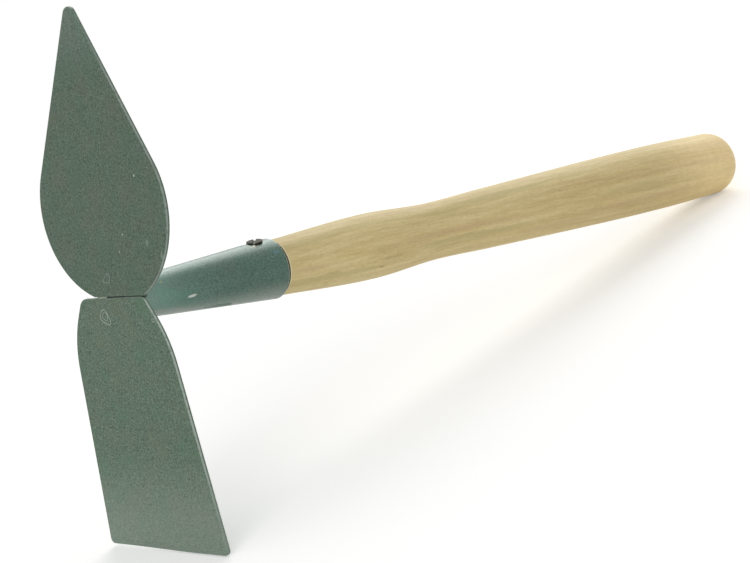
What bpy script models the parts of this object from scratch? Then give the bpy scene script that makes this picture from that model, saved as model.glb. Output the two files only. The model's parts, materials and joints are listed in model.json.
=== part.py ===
"""Combination hand hoe, at rest on the ground on its hoe blade and on the end of its handle.

A pointed leaf blade and a flared hoe blade, both flat sheet steel, meet edge to edge. Behind that
joint stands the end of a tapered socket rolled from sheet, welded to both blades. The turned wooden
handle is driven into the socket, and one screw through the top of the socket holds it.

Each piece is drawn in the frame of the tool: +X across the blades, +Y along the socket, +Z towards
the point of the leaf, with the joint of the blades at the origin. The empty "tool" carries them all
and lays the tool on the ground: +Z up, the origin under the middle of the tool. Metres.
"""

import math

import bmesh
import bpy
import numpy as np
from mathutils import Matrix, Vector

# The gap between pieces that touch.
GAP = 0.0003

# Both blades: sheet thickness and the softening of its rim.
BLADE_THICKNESS = 0.0020
BLADE_RIM_RADIUS = 0.0005

# The leaf: heights are above the joint of the blades. It is widest at the belly, and from the cheeks
# up its sides run straight to the rounded tip.
LEAF_WIDTH = 0.0925
LEAF_BASE_WIDTH = 0.0320
LEAF_BASE_HEIGHT = 0.0012
LEAF_BELLY_HEIGHT = 0.0388
LEAF_CHEEK_RADIUS = 0.0360
LEAF_POINT_HALF_ANGLE = math.radians(29.4)
LEAF_TIP_RADIUS = 0.0041
LEAF_LEAN = math.radians(0.5)
LEAF_OFFSET = 0.0017

# The hoe blade: its sides flare quickly from the top edge to a soft knee, then slowly to the cutting
# edge.
HOE_HEIGHT = 0.1141
HOE_TOP_HEIGHT = 0.0007
HOE_TOP_WIDTH = 0.0453
HOE_KNEE_WIDTH = 0.0705
HOE_KNEE_DROP = 0.0191
HOE_EDGE_WIDTH = 0.0866
HOE_TOP_CORNER = 0.0066
HOE_KNEE_RADIUS = 0.0500
HOE_EDGE_CORNER = 0.0026
HOE_LEAN = math.radians(4.4)
HOE_OFFSET = -0.0025

# The socket: y is measured along its axis, which passes below the joint of the blades.
SOCKET_AXIS_DROP = 0.0016
SOCKET_MOUTH_Y = 0.0868
SOCKET_MOUTH_RADIUS = 0.01395
SOCKET_END_RADIUS = 0.0082
SOCKET_WALL = 0.0015
SOCKET_LIP_RADIUS = 0.0005
SOCKET_SLIT = 0.0008

# The fillet welds round the end of the socket.
WELD_LEG = 0.0028

# The tenon inside the socket, from the distance that it stops short of the blades.
TENON_START_Y = 0.0140
TENON_CHAMFER = 0.0015

# The turned grip, from the mouth of the socket: neck, swell, waist, grip, palm and butt.
NECK_RADIUS = 0.0127
NECK_TO_SWELL = 0.0600
SWELL_RADIUS = 0.01546
SWELL_TO_WAIST = 0.0400
WAIST_RADIUS = 0.01375
WAIST_TO_GRIP = 0.0360
GRIP_RADIUS = 0.01475
GRIP_TO_PALM = 0.1280
PALM_RADIUS = 0.0171
PALM_TO_BUTT = 0.0420
BUTT_RADIUS = 0.0166
BUTT_CORNER_LENGTH = 0.0105
BUTT_CORNER_DEPTH = 0.0085
BUTT_DOME = 0.0025

# The grip runs slightly uphill from the line of the socket, and reaches that slope over this length.
GRIP_RISE = math.radians(1.05)
GRIP_BEND_LENGTH = 0.1000

# The fixing screw: a countersunk head with one slot, driven through the top of the socket a little to
# one side of it. Its rim stands this far proud of the sheet. The hole is countersunk to suit it.
SCREW_TO_MOUTH = 0.0079
SCREW_TURN = math.radians(7)
SCREW_TILT = math.radians(6.5)
SCREW_HEAD_RISE = 0.0006
SCREW_HEAD_RADIUS = 0.0038
SCREW_HEAD_RIM = 0.0005
SCREW_HEAD_DOME = 0.0004
SCREW_SLOT_WIDTH = 0.0011
SCREW_SLOT_DEPTH = 0.0008
SCREW_SLOT_TURN = math.radians(42)
SCREW_SHANK_RADIUS = 0.0019
SCREW_LENGTH = 0.0180
SCREW_POINT = 0.0040

HANDLE_STEPS = 44
SOCKET_STEPS = 48
SCREW_STEPS = 32


def clear_scene():
    """Empties the scene of objects."""
    for item in list(bpy.data.objects):
        bpy.data.objects.remove(item, do_unlink=True)


def material(name, colour, metallic, roughness):
    """Returns a Principled material of one plain colour."""
    made = bpy.data.materials.new(name)
    made.use_nodes = True
    shader = made.node_tree.nodes["Principled BSDF"]
    shader.inputs["Base Color"].default_value = (*colour, 1.0)
    shader.inputs["Metallic"].default_value = metallic
    shader.inputs["Roughness"].default_value = roughness
    return made


# Shapes of the pieces


def arc(centre, radius, start, end, most=math.radians(7)):
    """Returns points along an arc, both ends included."""
    steps = max(2, math.ceil(abs(end - start) / most))
    angles = np.linspace(start, end, steps + 1)
    return [(centre[0] + radius * math.cos(a), centre[1] + radius * math.sin(a)) for a in angles]


def filleted(corners):
    """Returns the outline through corners, a list of (x, z, fillet radius), with each one rounded."""
    outline = []
    for index, (x, z, radius) in enumerate(corners):
        here = Vector((x, z))
        back = (Vector(corners[index - 1][:2]) - here).normalized()
        ahead = (Vector(corners[(index + 1) % len(corners)][:2]) - here).normalized()
        half = back.angle(ahead) / 2
        centre = here + (back + ahead).normalized() * radius / math.sin(half)
        first = here + back * radius / math.tan(half) - centre
        last = here + ahead * radius / math.tan(half) - centre
        start = math.atan2(first.y, first.x)
        turn = math.atan2(last.y, last.x) - start
        turn = (turn + math.pi) % (2 * math.pi) - math.pi
        outline += arc(centre, radius, start, start + turn)
    return outline


def leaf_outline():
    """Returns the outline of the leaf: quarter ellipses, cheek arcs, straight sides and a round tip."""
    half = LEAF_WIDTH / 2
    lowest = math.acos(LEAF_BASE_WIDTH / LEAF_WIDTH)
    drop = (LEAF_BELLY_HEIGHT - LEAF_BASE_HEIGHT) / math.sin(lowest)
    right = [
        (half * math.cos(a), LEAF_BELLY_HEIGHT + drop * math.sin(a))
        for a in np.linspace(-lowest, 0, 15)[:-1]
    ]
    cheek = (half - LEAF_CHEEK_RADIUS, LEAF_BELLY_HEIGHT)
    right += arc(cheek, LEAF_CHEEK_RADIUS, 0, LEAF_POINT_HALF_ANGLE)
    reach = LEAF_CHEEK_RADIUS + cheek[0] * math.cos(LEAF_POINT_HALF_ANGLE) - LEAF_TIP_RADIUS
    tip = (0, LEAF_BELLY_HEIGHT + reach / math.sin(LEAF_POINT_HALF_ANGLE))
    right += arc(tip, LEAF_TIP_RADIUS, LEAF_POINT_HALF_ANGLE, math.pi / 2, math.radians(10))
    return right + [(-x, z) for x, z in reversed(right[:-1])]


def hoe_outline():
    """Returns the outline of the hoe blade, with z measured on its own flat from its top edge."""
    edge, knee, top = HOE_EDGE_WIDTH / 2, HOE_KNEE_WIDTH / 2, HOE_TOP_WIDTH / 2
    return filleted(
        [
            (-edge, -HOE_HEIGHT, HOE_EDGE_CORNER),
            (edge, -HOE_HEIGHT, HOE_EDGE_CORNER),
            (knee, -HOE_KNEE_DROP, HOE_KNEE_RADIUS),
            (top, 0, HOE_TOP_CORNER),
            (-top, 0, HOE_TOP_CORNER),
            (-knee, -HOE_KNEE_DROP, HOE_KNEE_RADIUS),
        ]
    )


def blade_back(lean, z):
    """Returns the y of the back of a blade with this lean, at height z."""
    return BLADE_THICKNESS / math.cos(lean) - z * math.tan(lean)


def socket_radius(y):
    """Returns the outer radius of the socket at y."""
    return SOCKET_END_RADIUS + (SOCKET_MOUTH_RADIUS - SOCKET_END_RADIUS) * y / SOCKET_MOUTH_Y


def socket_section(angle):
    """Returns the section of the socket's wall at this angle, as (radius, y) points round the sheet."""
    z = SOCKET_END_RADIUS * math.sin(angle) - SOCKET_AXIS_DROP
    joint = (LEAF_BASE_HEIGHT + HOE_TOP_HEIGHT) / 2
    start = blade_back(LEAF_LEAN if z > joint else HOE_LEAN, z) + GAP
    end, lip = SOCKET_MOUTH_Y, SOCKET_LIP_RADIUS
    section = [(socket_radius(y), y) for y in np.linspace(start, end - lip, 7)]
    section += [
        (socket_radius(end) - lip * (1 - math.cos(a)), end - lip * (1 - math.sin(a)))
        for a in (math.pi / 6, math.pi / 3, math.pi / 2)
    ]
    return section + [(socket_radius(y) - SOCKET_WALL, y) for y in np.linspace(end, start, 7)]


def smooth_curve(stations, at):
    """Returns a smooth curve through (distance, value) stations, which never passes beyond them."""
    x, y = np.array(stations).T
    step = np.diff(x)
    rise = np.diff(y) / step
    slope = np.zeros(len(x))
    slope[0], slope[-1] = rise[0], rise[-1]
    for i in range(1, len(x) - 1):
        if rise[i - 1] * rise[i] > 0:
            near, far = 2 * step[i] + step[i - 1], step[i] + 2 * step[i - 1]
            slope[i] = (near + far) / (near / rise[i - 1] + far / rise[i])
    i = np.clip(np.searchsorted(x, at) - 1, 0, len(x) - 2)
    t = (at - x[i]) / step[i]
    start = (1 + 2 * t) * (1 - t) ** 2 * y[i] + t * (1 - t) ** 2 * step[i] * slope[i]
    end = t**2 * (3 - 2 * t) * y[i + 1] - t**2 * (1 - t) * step[i] * slope[i + 1]
    return start + end


def grip_stations():
    """Returns the (y, radius) stations of the turned grip, from the mouth of the socket to the butt."""
    lengths = (2 * GAP, NECK_TO_SWELL, SWELL_TO_WAIST, WAIST_TO_GRIP, GRIP_TO_PALM, PALM_TO_BUTT)
    radii = (NECK_RADIUS, SWELL_RADIUS, WAIST_RADIUS, GRIP_RADIUS, PALM_RADIUS, BUTT_RADIUS)
    return list(zip(SOCKET_MOUTH_Y + np.cumsum(lengths), radii))


def handle_profile():
    """Returns the (radius, y) points of the handle, from the middle of its tenon's end to its butt's."""

    def seat(y):
        return socket_radius(y) - SOCKET_WALL - GAP

    chamfer_end = TENON_START_Y + TENON_CHAMFER
    profile = [(0, TENON_START_Y), (seat(TENON_START_Y) - TENON_CHAMFER, TENON_START_Y)]
    profile += [(seat(y), y) for y in np.linspace(chamfer_end, SOCKET_MOUTH_Y, 6)]
    profile.append((seat(SOCKET_MOUTH_Y), SOCKET_MOUTH_Y + GAP))
    stations = grip_stations()
    along = np.linspace(stations[0][0], stations[-1][0], 60)
    profile += list(zip(smooth_curve(stations, along), along))
    for a in np.linspace(0, math.pi / 2, 9)[1:]:
        radius = BUTT_RADIUS - BUTT_CORNER_DEPTH * (1 - math.cos(a))
        profile.append((radius, stations[-1][0] + BUTT_CORNER_LENGTH * math.sin(a)))
    rim, rim_y = profile[-1]
    return profile + [(rim * t, rim_y + BUTT_DOME * (1 - t * t)) for t in (0.66, 0.33, 0)]


def grip_rise(y):
    """Returns how far the middle of the handle has risen above the line of the socket at y."""
    past = max(0.0, y - SOCKET_MOUTH_Y)
    return math.tan(GRIP_RISE) * past * past / (past + GRIP_BEND_LENGTH)


def screw_profile(grow=0.0):
    """Returns the (radius, height) profile of the screw, or of its hole when grow is the clearance."""
    head, shank = SCREW_HEAD_RADIUS + grow, SCREW_SHANK_RADIUS + grow
    rim = SCREW_HEAD_RIM + grow * math.tan(math.radians(22.5))
    return [
        (0, SCREW_HEAD_DOME + grow),
        (head * 0.55, SCREW_HEAD_DOME * 0.75 + grow),
        (head, grow),
        (head, -rim),
        (shank, -rim - head + shank),
        (shank, -SCREW_LENGTH + SCREW_POINT),
        (0, -SCREW_LENGTH - grow),
    ]


def hole_profile():
    """Returns the (radius, height) profile of the countersunk hole, clear of the screw all round."""
    head, rim = screw_profile(GAP)[3]
    shank, neck = screw_profile(GAP)[4]
    above, below = SOCKET_WALL * 2, -SOCKET_WALL * 4
    return [(0, above), (head + above - rim, above), (shank, neck), (shank, below), (0, below)]


# Places of the pieces


def leaf_place():
    """Returns the matrix that puts the leaf from its own flat into the frame of the tool."""
    return Matrix.Translation((LEAF_OFFSET, 0, 0)) @ Matrix.Rotation(LEAF_LEAN, 4, "X")


def hoe_place():
    """Returns the matrix that puts the hoe blade from its own flat into the frame of the tool."""
    top = (HOE_OFFSET, -HOE_TOP_HEIGHT * math.tan(HOE_LEAN), HOE_TOP_HEIGHT)
    return Matrix.Translation(top) @ Matrix.Rotation(HOE_LEAN, 4, "X")


def screw_place():
    """Returns the matrix of the screw and its hole, the rim of its head at y = 0 and its axis along Y."""
    y = SOCKET_MOUTH_Y - SCREW_TO_MOUTH
    axis = Matrix.Translation((0, 0, -SOCKET_AXIS_DROP)) @ Matrix.Rotation(SCREW_TURN, 4, "Y")
    crown = axis @ Matrix.Translation((0, y, socket_radius(y) + SCREW_HEAD_RISE))
    return crown @ Matrix.Rotation(math.radians(90) + SCREW_TILT, 4, "X")


def resting_place():
    """Returns the matrix that lays the tool down with its hoe blade and its handle on the ground."""
    flat = (BLADE_RIM_RADIUS, BLADE_THICKNESS - BLADE_RIM_RADIUS)
    blade = [hoe_place() @ Vector((0, y, -HOE_HEIGHT)) for y in flat]
    handle = [Vector((0, y, grip_rise(y) - SOCKET_AXIS_DROP - r)) for r, y in handle_profile()]

    def lowest(points, slope):
        return min(p.z * math.cos(slope) - p.y * math.sin(slope) for p in points)

    low, high = 0.0, math.radians(80)
    for _ in range(60):
        middle = (low + high) / 2
        if lowest(blade, middle) < lowest(handle, middle):
            low = middle
        else:
            high = middle
    turn = Matrix.Rotation(-low, 4, "X")
    edge = turn @ blade[0]
    butt = turn @ handle[-1]
    left = min(LEAF_OFFSET - LEAF_WIDTH / 2, HOE_OFFSET - HOE_EDGE_WIDTH / 2)
    right = max(LEAF_OFFSET + LEAF_WIDTH / 2, HOE_OFFSET + HOE_EDGE_WIDTH / 2)
    middle = (-(left + right) / 2, -(edge.y + butt.y) / 2, -lowest(blade, low))
    return Matrix.Translation(middle) @ turn


# Making the pieces


def finish(name, points, faces, place, look):
    """Makes a closed mesh with outward faces, as one named object carried by the tool."""
    mesh = bpy.data.meshes.new(name)
    mesh.from_pydata([tuple(p) for p in points], [], faces)
    work = bmesh.new()
    work.from_mesh(mesh)
    bmesh.ops.recalc_face_normals(work, faces=work.faces)
    work.to_mesh(mesh)
    work.free()
    mesh.shade_smooth()
    mesh.set_sharp_from_angle(angle=math.radians(35))
    mesh.materials.append(look)
    made = bpy.data.objects.new(name, mesh)
    bpy.context.scene.collection.objects.link(made)
    made.parent = TOOL
    made.matrix_local = place
    return made


def loft(rings):
    """Returns the points and faces of a solid through rings of points, all with the same count."""
    count = len(rings[0])
    points = [p for ring in rings for p in ring]
    faces = []
    for first in range(0, len(points) - count, count):
        for i in range(count):
            j = (i + 1) % count
            faces.append((first + i, first + j, first + count + j, first + count + i))
    faces.append(tuple(range(count)))
    faces.append(tuple(range(len(points) - 1, len(points) - count - 1, -1)))
    return points, faces


def plate(name, outline, place, look):
    """Makes a flat sheet with this outline in its XZ plane, its front at y = 0, and a softened rim."""
    rings = [[(x, y, z) for x, z in outline] for y in (0, BLADE_THICKNESS)]
    made = finish(name, *loft(rings), place, look)
    rim = made.modifiers.new("rim", "BEVEL")
    rim.width = BLADE_RIM_RADIUS
    rim.segments = 3
    rim.limit_method = "ANGLE"
    rim.angle_limit = math.radians(60)
    return made


def turned(name, profile, steps, place, look, rise=None):
    """Turns a profile of (radius, y) points about the Y axis, each ring lifted by rise at its y."""
    points, faces, rings = [], [], []
    for radius, y in profile:
        lift = rise(y) if rise else 0.0
        if radius == 0:
            rings.append([len(points)] * steps)
            points.append((0, y, lift))
            continue
        rings.append(list(range(len(points), len(points) + steps)))
        angles = [2 * math.pi * i / steps for i in range(steps)]
        points += [(radius * math.cos(a), y, radius * math.sin(a) + lift) for a in angles]
    for near, far in zip(rings, rings[1:]):
        for i in range(steps):
            j = (i + 1) % steps
            faces.append(tuple(dict.fromkeys((near[i], near[j], far[j], far[i]))))
    return finish(name, points, faces, place, look)


def rolled_socket(look):
    """Makes the tapered socket: sheet rolled round until its two edges almost meet underneath."""
    half_slit = SOCKET_SLIT / (SOCKET_END_RADIUS + SOCKET_MOUTH_RADIUS)
    turn = np.linspace(-math.pi / 2 + half_slit, 1.5 * math.pi - half_slit, SOCKET_STEPS + 1)
    rings = [[(r * math.cos(a), y, r * math.sin(a)) for r, y in socket_section(a)] for a in turn]
    place = Matrix.Translation((0, 0, -SOCKET_AXIS_DROP))
    return finish("socket", *loft(rings), place, look)


def weld(name, start, end, lean, look):
    """Makes a fillet bead round the socket's end from angle start to angle end, on the back of a blade."""
    rings = []
    steps = max(12, round((end - start) / math.radians(6)))
    for index in range(steps + 1):
        angle = start + (end - start) * index / steps
        tip = math.sin(min(1, min(index, steps - index) / 3) * math.pi / 2)
        leg = WELD_LEG * (0.45 + 0.55 * tip) * (1 + 0.05 * math.sin(angle * 17))
        ring = []
        for across, up in ((0, 0), (1, 0), (0.86, 0.42), (0.62, 0.66), (0.38, 0.86), (0, 1)):
            radius = socket_radius(BLADE_THICKNESS + leg * up) + GAP + leg * across
            z = radius * math.sin(angle) - SOCKET_AXIS_DROP
            ring.append((radius * math.cos(angle), blade_back(lean, z) + GAP + leg * up, z))
        rings.append(ring)
    return finish(name, *loft(rings), Matrix.Identity(4), look)


def leaf_weld_start():
    """Returns the angle at which the bead on the leaf clears the leaf's lower rim."""
    height = LEAF_BASE_HEIGHT + BLADE_RIM_RADIUS + SOCKET_AXIS_DROP + GAP
    return math.asin(min(0.95, height / socket_radius(BLADE_THICKNESS)))


def hoe_weld_end():
    """Returns the angle at which the bead on the hoe blade reaches that blade's upper rim."""
    height = HOE_TOP_HEIGHT - BLADE_RIM_RADIUS + SOCKET_AXIS_DROP
    return math.asin(max(-0.95, min(0.95, height / (socket_radius(BLADE_THICKNESS) + WELD_LEG))))


def cut(target, cutter):
    """Cuts a hidden cutter out of a piece."""
    cutter.hide_render = True
    cutter.display_type = "WIRE"
    made = target.modifiers.new(cutter.name, "BOOLEAN")
    made.operation = "DIFFERENCE"
    made.solver = "EXACT"
    made.object = cutter


def bored(target, name, profile, place):
    """Bores a turned hole into a piece."""
    cut(target, turned(name, profile, SCREW_STEPS, place, LOOKS["cutter"]))


def slotted(target, place):
    """Cuts the slot across the head of the screw, from one side to the other."""
    reach, half = SCREW_HEAD_RADIUS * 2, SCREW_SLOT_WIDTH / 2
    floor = SCREW_HEAD_DOME - SCREW_SLOT_DEPTH
    corners = [(-reach, -half), (-reach, half), (reach, half), (reach, -half)]
    rings = [[(x, y, z) for x, z in corners] for y in (floor, floor + SCREW_SLOT_DEPTH * 2)]
    turn = Matrix.Rotation(-SCREW_SLOT_TURN, 4, "Y")
    cut(target, finish("screw_slot", *loft(rings), place @ turn, LOOKS["cutter"]))


clear_scene()
TOOL = bpy.data.objects.new("tool", None)
bpy.context.scene.collection.objects.link(TOOL)
TOOL.matrix_world = resting_place()

LOOKS = {
    "leaf": material("leaf_paint", (0.095, 0.155, 0.125), 0.55, 0.45),
    "hoe": material("hoe_paint", (0.105, 0.160, 0.135), 0.55, 0.45),
    "socket": material("socket_paint", (0.070, 0.135, 0.120), 0.55, 0.42),
    "leaf_weld": material("leaf_weld_paint", (0.080, 0.130, 0.110), 0.5, 0.6),
    "hoe_weld": material("hoe_weld_paint", (0.080, 0.130, 0.110), 0.5, 0.6),
    "wood": material("turned_wood", (0.580, 0.440, 0.230), 0.0, 0.6),
    "screw": material("dark_steel", (0.060, 0.055, 0.045), 0.8, 0.5),
    "cutter": material("cutter", (0.8, 0.2, 0.2), 0.0, 0.5),
}
ON_AXIS = Matrix.Translation((0, 0, -SOCKET_AXIS_DROP))

plate("leaf_blade", leaf_outline(), leaf_place(), LOOKS["leaf"])
plate("hoe_blade", hoe_outline(), hoe_place(), LOOKS["hoe"])
socket = rolled_socket(LOOKS["socket"])
from_leaf, to_hoe = leaf_weld_start(), hoe_weld_end()
weld("leaf_weld", from_leaf, math.pi - from_leaf, LEAF_LEAN, LOOKS["leaf_weld"])
weld("hoe_weld", -math.pi - to_hoe, to_hoe, HOE_LEAN, LOOKS["hoe_weld"])
handle = turned("handle", handle_profile(), HANDLE_STEPS, ON_AXIS, LOOKS["wood"], grip_rise)
screw = turned("fixing_screw", screw_profile(), SCREW_STEPS, screw_place(), LOOKS["screw"])

bored(socket, "socket_hole", hole_profile(), screw_place())
bored(handle, "pilot_hole", screw_profile(GAP), screw_place())
slotted(screw, screw_place())
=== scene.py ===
"""Looks of the combination hoe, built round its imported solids: finer meshes, procedural finishes, studio.

Every shape is drawn in the frame of the tool, +X across the blades, +Y along the socket and +Z towards
the point of the leaf, with the joint of the blades at the origin. ToolFrame reads from the record how
the tool lies on the ground, and each piece gets that place in its mesh. Metres.
"""

import json
import logging
import math
from collections import Counter
from collections.abc import Callable, Sequence
from dataclasses import dataclass, field
from enum import Enum
from functools import partial

import bmesh
import bpy
import numpy as np
from bpy.types import Material, Mesh, Node, NodeSocket, NodeTree, Object
from mathutils import Matrix, Vector


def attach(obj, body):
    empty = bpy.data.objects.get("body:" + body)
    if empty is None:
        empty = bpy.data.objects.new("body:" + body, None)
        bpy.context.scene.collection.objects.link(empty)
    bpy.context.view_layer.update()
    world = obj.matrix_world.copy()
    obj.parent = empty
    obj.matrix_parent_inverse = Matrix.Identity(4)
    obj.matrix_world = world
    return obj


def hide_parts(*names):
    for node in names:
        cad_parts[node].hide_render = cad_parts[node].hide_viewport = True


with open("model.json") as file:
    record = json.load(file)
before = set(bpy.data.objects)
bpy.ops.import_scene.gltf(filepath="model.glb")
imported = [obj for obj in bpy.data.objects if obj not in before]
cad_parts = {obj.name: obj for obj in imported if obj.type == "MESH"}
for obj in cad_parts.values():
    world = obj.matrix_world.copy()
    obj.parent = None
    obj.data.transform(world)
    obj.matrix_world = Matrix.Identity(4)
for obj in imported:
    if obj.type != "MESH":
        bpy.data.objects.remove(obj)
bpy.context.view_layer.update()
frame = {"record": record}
LOG = logging.getLogger("hoe")

MM = 0.001
SMOOTH_ANGLE = math.radians(35)
ARC_STEP = math.radians(3)
DOUBLES = 2e-6
SLIVER = 5e-6
ROUND = np.linspace(0, math.tau, 97)[:-1]
HERE = Matrix.Identity(4)
WHITE = (1.0, 1.0, 1.0, 1.0)
Points = Sequence[Sequence[float]]
Rows = tuple[tuple, ...]
Adder = Callable[..., Node]

# The kinds of node that are used most. A noise's inputs are its place, scale, detail and roughness, a
# range's its value, where that starts and ends, and what it becomes there.
MATH, VECTOR, RANGE, MIX = "ShaderNodeMath", "ShaderNodeVectorMath", "ShaderNodeMapRange", "ShaderNodeMix"
NOISE, BUMP, MAPPING = "ShaderNodeTexNoise", "ShaderNodeBump", "ShaderNodeMapping"


class Slot(Enum):
    """The record's material slots, one for the finish of each kind of piece."""

    LEAF = "leaf_paint"
    HOE = "hoe_paint"
    SOCKET = "socket_paint"
    LEAF_WELD = "leaf_weld_paint"
    HOE_WELD = "hoe_weld_paint"
    WOOD = "turned_wood"
    STEEL = "dark_steel"


# Nodes and materials


def linear(code: str) -> tuple[float, ...]:
    """Turns an sRGB hex colour into linear red, green, blue and full alpha.

    Args:
        code: the colour, such as "#8A9A88".

    Returns:
        The four values.
    """
    values = [int(code[i : i + 2], 16) / 255 for i in (1, 3, 5)]
    return (*(v / 12.92 if v <= 0.04045 else ((v + 0.055) / 1.055) ** 2.4 for v in values), 1.0)


def wire(node: Node, inputs: dict | Sequence) -> None:
    """Sets or links a node's inputs.

    Args:
        node: the node.
        inputs: values, outputs, or nodes whose first output in use is linked, by the input's identifier
            or name, or in the order of the inputs in use.
    """
    if not isinstance(inputs, dict):
        inputs = dict(zip([s.identifier for s in node.inputs if s.enabled], inputs))
    for name, value in inputs.items():
        socket = next((s for s in node.inputs if s.identifier == name), None) or node.inputs[name]
        if isinstance(value, Node):
            value = next(s for s in value.outputs if s.enabled)
        if isinstance(value, NodeSocket):
            node.id_data.links.new(value, socket)
        else:
            socket.default_value = value


def add_node(tree: NodeTree, kind: str, inputs: dict | Sequence = (), **settings) -> Node:
    """Adds a node with its settings, and sets or links its inputs.

    Args:
        tree: the shader or geometry tree.
        kind: the node's type name.
        inputs: its inputs, in the ways that wire takes them.
        **settings: the node's own properties.

    Returns:
        The new node.
    """
    node = tree.nodes.new(kind)
    for name, value in settings.items():
        setattr(node, name, value)
    wire(node, inputs)
    return node


def new_material(name: str) -> tuple[Material, Adder, Node, NodeSocket]:
    """Starts a material.

    Args:
        name: the material's name.

    Returns:
        The material, what adds a node to it, its Principled node and its Object coordinates.
    """
    made = bpy.data.materials.new(name)
    made.use_nodes = True
    add = partial(add_node, made.node_tree)
    coords = add("ShaderNodeTexCoord").outputs["Object"]
    return made, add, made.node_tree.nodes["Principled BSDF"], coords


def tinted(
    add: Adder, colour: object, pattern: object, levels: Sequence[float], tint: str, most: float = 1.0
) -> Node:
    """Mixes a tint into a colour where a pattern passes from one level to another.

    Args:
        add: what adds a node to the material.
        colour: the colour so far.
        pattern: the node or output that holds the pattern.
        levels: the pattern's values where the tint starts and where it is full.
        tint: the tint, as an sRGB hex colour.
        most: the largest share of it.

    Returns:
        The node that gives the new colour.
    """
    share = add(RANGE, (pattern, *levels, 0.0, most))
    return add(MIX, (share, colour, linear(tint)), data_type="RGBA")


# Meshes and pieces


def finish_mesh(mesh: Mesh, place: Matrix = HERE) -> None:
    """Turns a mesh's faces outwards, smooths it up to the sharp angle and moves it to its place.

    Args:
        mesh: the mesh, whose doubles are merged.
        place: the matrix that its points go through.
    """
    work = bmesh.new()
    work.from_mesh(mesh)
    bmesh.ops.remove_doubles(work, verts=work.verts, dist=DOUBLES)
    bmesh.ops.recalc_face_normals(work, faces=work.faces)
    work.to_mesh(mesh)
    work.free()
    mesh.transform(place)
    mesh.shade_smooth()
    mesh.set_sharp_from_angle(angle=SMOOTH_ANGLE)


def heal_cut(mesh: Mesh) -> None:
    """Splits a cut mesh into triangles and takes out the slivers and folded pairs that the cut left.

    Args:
        mesh: the mesh.
    """
    work = bmesh.new()
    work.from_mesh(mesh)
    bmesh.ops.triangulate(work, faces=work.faces)
    bmesh.ops.dissolve_degenerate(work, dist=SLIVER, edges=work.edges)
    bmesh.ops.triangulate(work, faces=work.faces)
    corners = Counter(frozenset(face.verts) for face in work.faces)
    folded = [face for face in work.faces if corners[frozenset(face.verts)] > 1]
    bmesh.ops.delete(work, geom=folded, context="FACES")
    work.to_mesh(mesh)
    work.free()


def new_object(name: str, points: Points, faces: Sequence = (), edges: Sequence = ()) -> Object:
    """Makes an object from points.

    Args:
        name: the object's name.
        points: its points.
        faces: its faces, as indices of points.
        edges: its loose edges.

    Returns:
        The object, linked to the scene.
    """
    mesh = bpy.data.meshes.new(name)
    mesh.from_pydata([tuple(p) for p in points], list(edges), list(faces))
    made = bpy.data.objects.new(name, mesh)
    bpy.context.scene.collection.objects.link(made)
    return made


def store(obj: Object, name: str, values: Sequence[float]) -> None:
    """Stores a number for each point of an object's mesh.

    Args:
        obj: the object.
        name: the attribute's name.
        values: one number for each point.
    """
    attribute = obj.data.attributes.new(name, "FLOAT", "POINT")
    attribute.data.foreach_set("value", np.asarray(values, np.float32))


def settle(obj: Object, place: Matrix = HERE) -> None:
    """Makes an object's modifiers part of a plain mesh, with its place in the mesh.

    Args:
        obj: the object.
        place: the matrix that its points go through.
    """
    graph = bpy.context.evaluated_depsgraph_get()
    made = bpy.data.meshes.new_from_object(
        obj.evaluated_get(graph), preserve_all_data_layers=True, depsgraph=graph
    )
    obj.modifiers.clear()
    obj.data = made
    made.name = obj.name
    finish_mesh(made, place)


def carve(obj: Object, cutter: Object, finish: Material, place: Matrix = HERE) -> None:
    """Cuts a shape out of an object, removes the cutter and gives every face the same material.

    Args:
        obj: the object.
        cutter: the object with the shape.
        finish: the material.
        place: the matrix that the cut object's points go through.
    """
    cut = obj.modifiers.new(cutter.name, "BOOLEAN")
    cut.operation = "DIFFERENCE"
    cut.solver = "EXACT"
    cut.object = cutter
    settle(obj, place)
    bpy.data.objects.remove(cutter, do_unlink=True)
    obj.data.materials.clear()
    obj.data.materials.append(finish)
    obj.data.polygons.foreach_set("material_index", [0] * len(obj.data.polygons))


def add_piece(obj: Object, slot: Slot, stands_for: str | None = None) -> None:
    """Attaches a finished piece to the root body, hides the node that it replaces and reports it.

    Args:
        obj: the piece, with its place in its mesh.
        slot: the slot of its finish.
        stands_for: the node that it replaces, if any.
    """
    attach(obj, "root")
    if stands_for:
        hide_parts(stands_for)
    triangles = sum(len(p.vertices) - 2 for p in obj.data.polygons)
    LOG.info("%s: %d triangles, finish %s", obj.name, triangles, slot.value)


def loft(rings: Sequence[Points]) -> tuple[list, list]:
    """Skins closed rings that all have the same count of points, and closes the first and the last.

    Args:
        rings: the rings, in order.

    Returns:
        The points and the faces.
    """
    count = len(rings[0])
    points = [p for ring in rings for p in ring]
    faces = [
        (first + i, first + (i + 1) % count, first + count + (i + 1) % count, first + count + i)
        for first in range(0, len(points) - count, count)
        for i in range(count)
    ]
    last = range(len(points) - 1, len(points) - count - 1, -1)
    return points, faces + [tuple(range(count)), tuple(last)]


# Geometry trees


def geometry_tree(name: str, sizes: dict[str, float]) -> tuple[NodeTree, Adder, Node]:
    """Starts a geometry tree that takes a path, sizes and a finish.

    Args:
        name: the tree's name.
        sizes: the default of each size, by name; an int is a count.

    Returns:
        The tree, what adds a node to it and its input node.
    """
    tree = bpy.data.node_groups.new(name, "GeometryNodeTree")
    kinds = {label: "Int" if isinstance(value, int) else "Float" for label, value in sizes.items()}
    for label, kind in {"Geometry": "Geometry", **kinds, "Finish": "Material"}.items():
        socket = tree.interface.new_socket(label, in_out="INPUT", socket_type="NodeSocket" + kind)
        if label in sizes:
            socket.default_value = sizes[label]
    tree.interface.new_socket("Geometry", in_out="OUTPUT", socket_type="NodeSocketGeometry")
    return tree, partial(add_node, tree), tree.nodes.new("NodeGroupInput")


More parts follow.
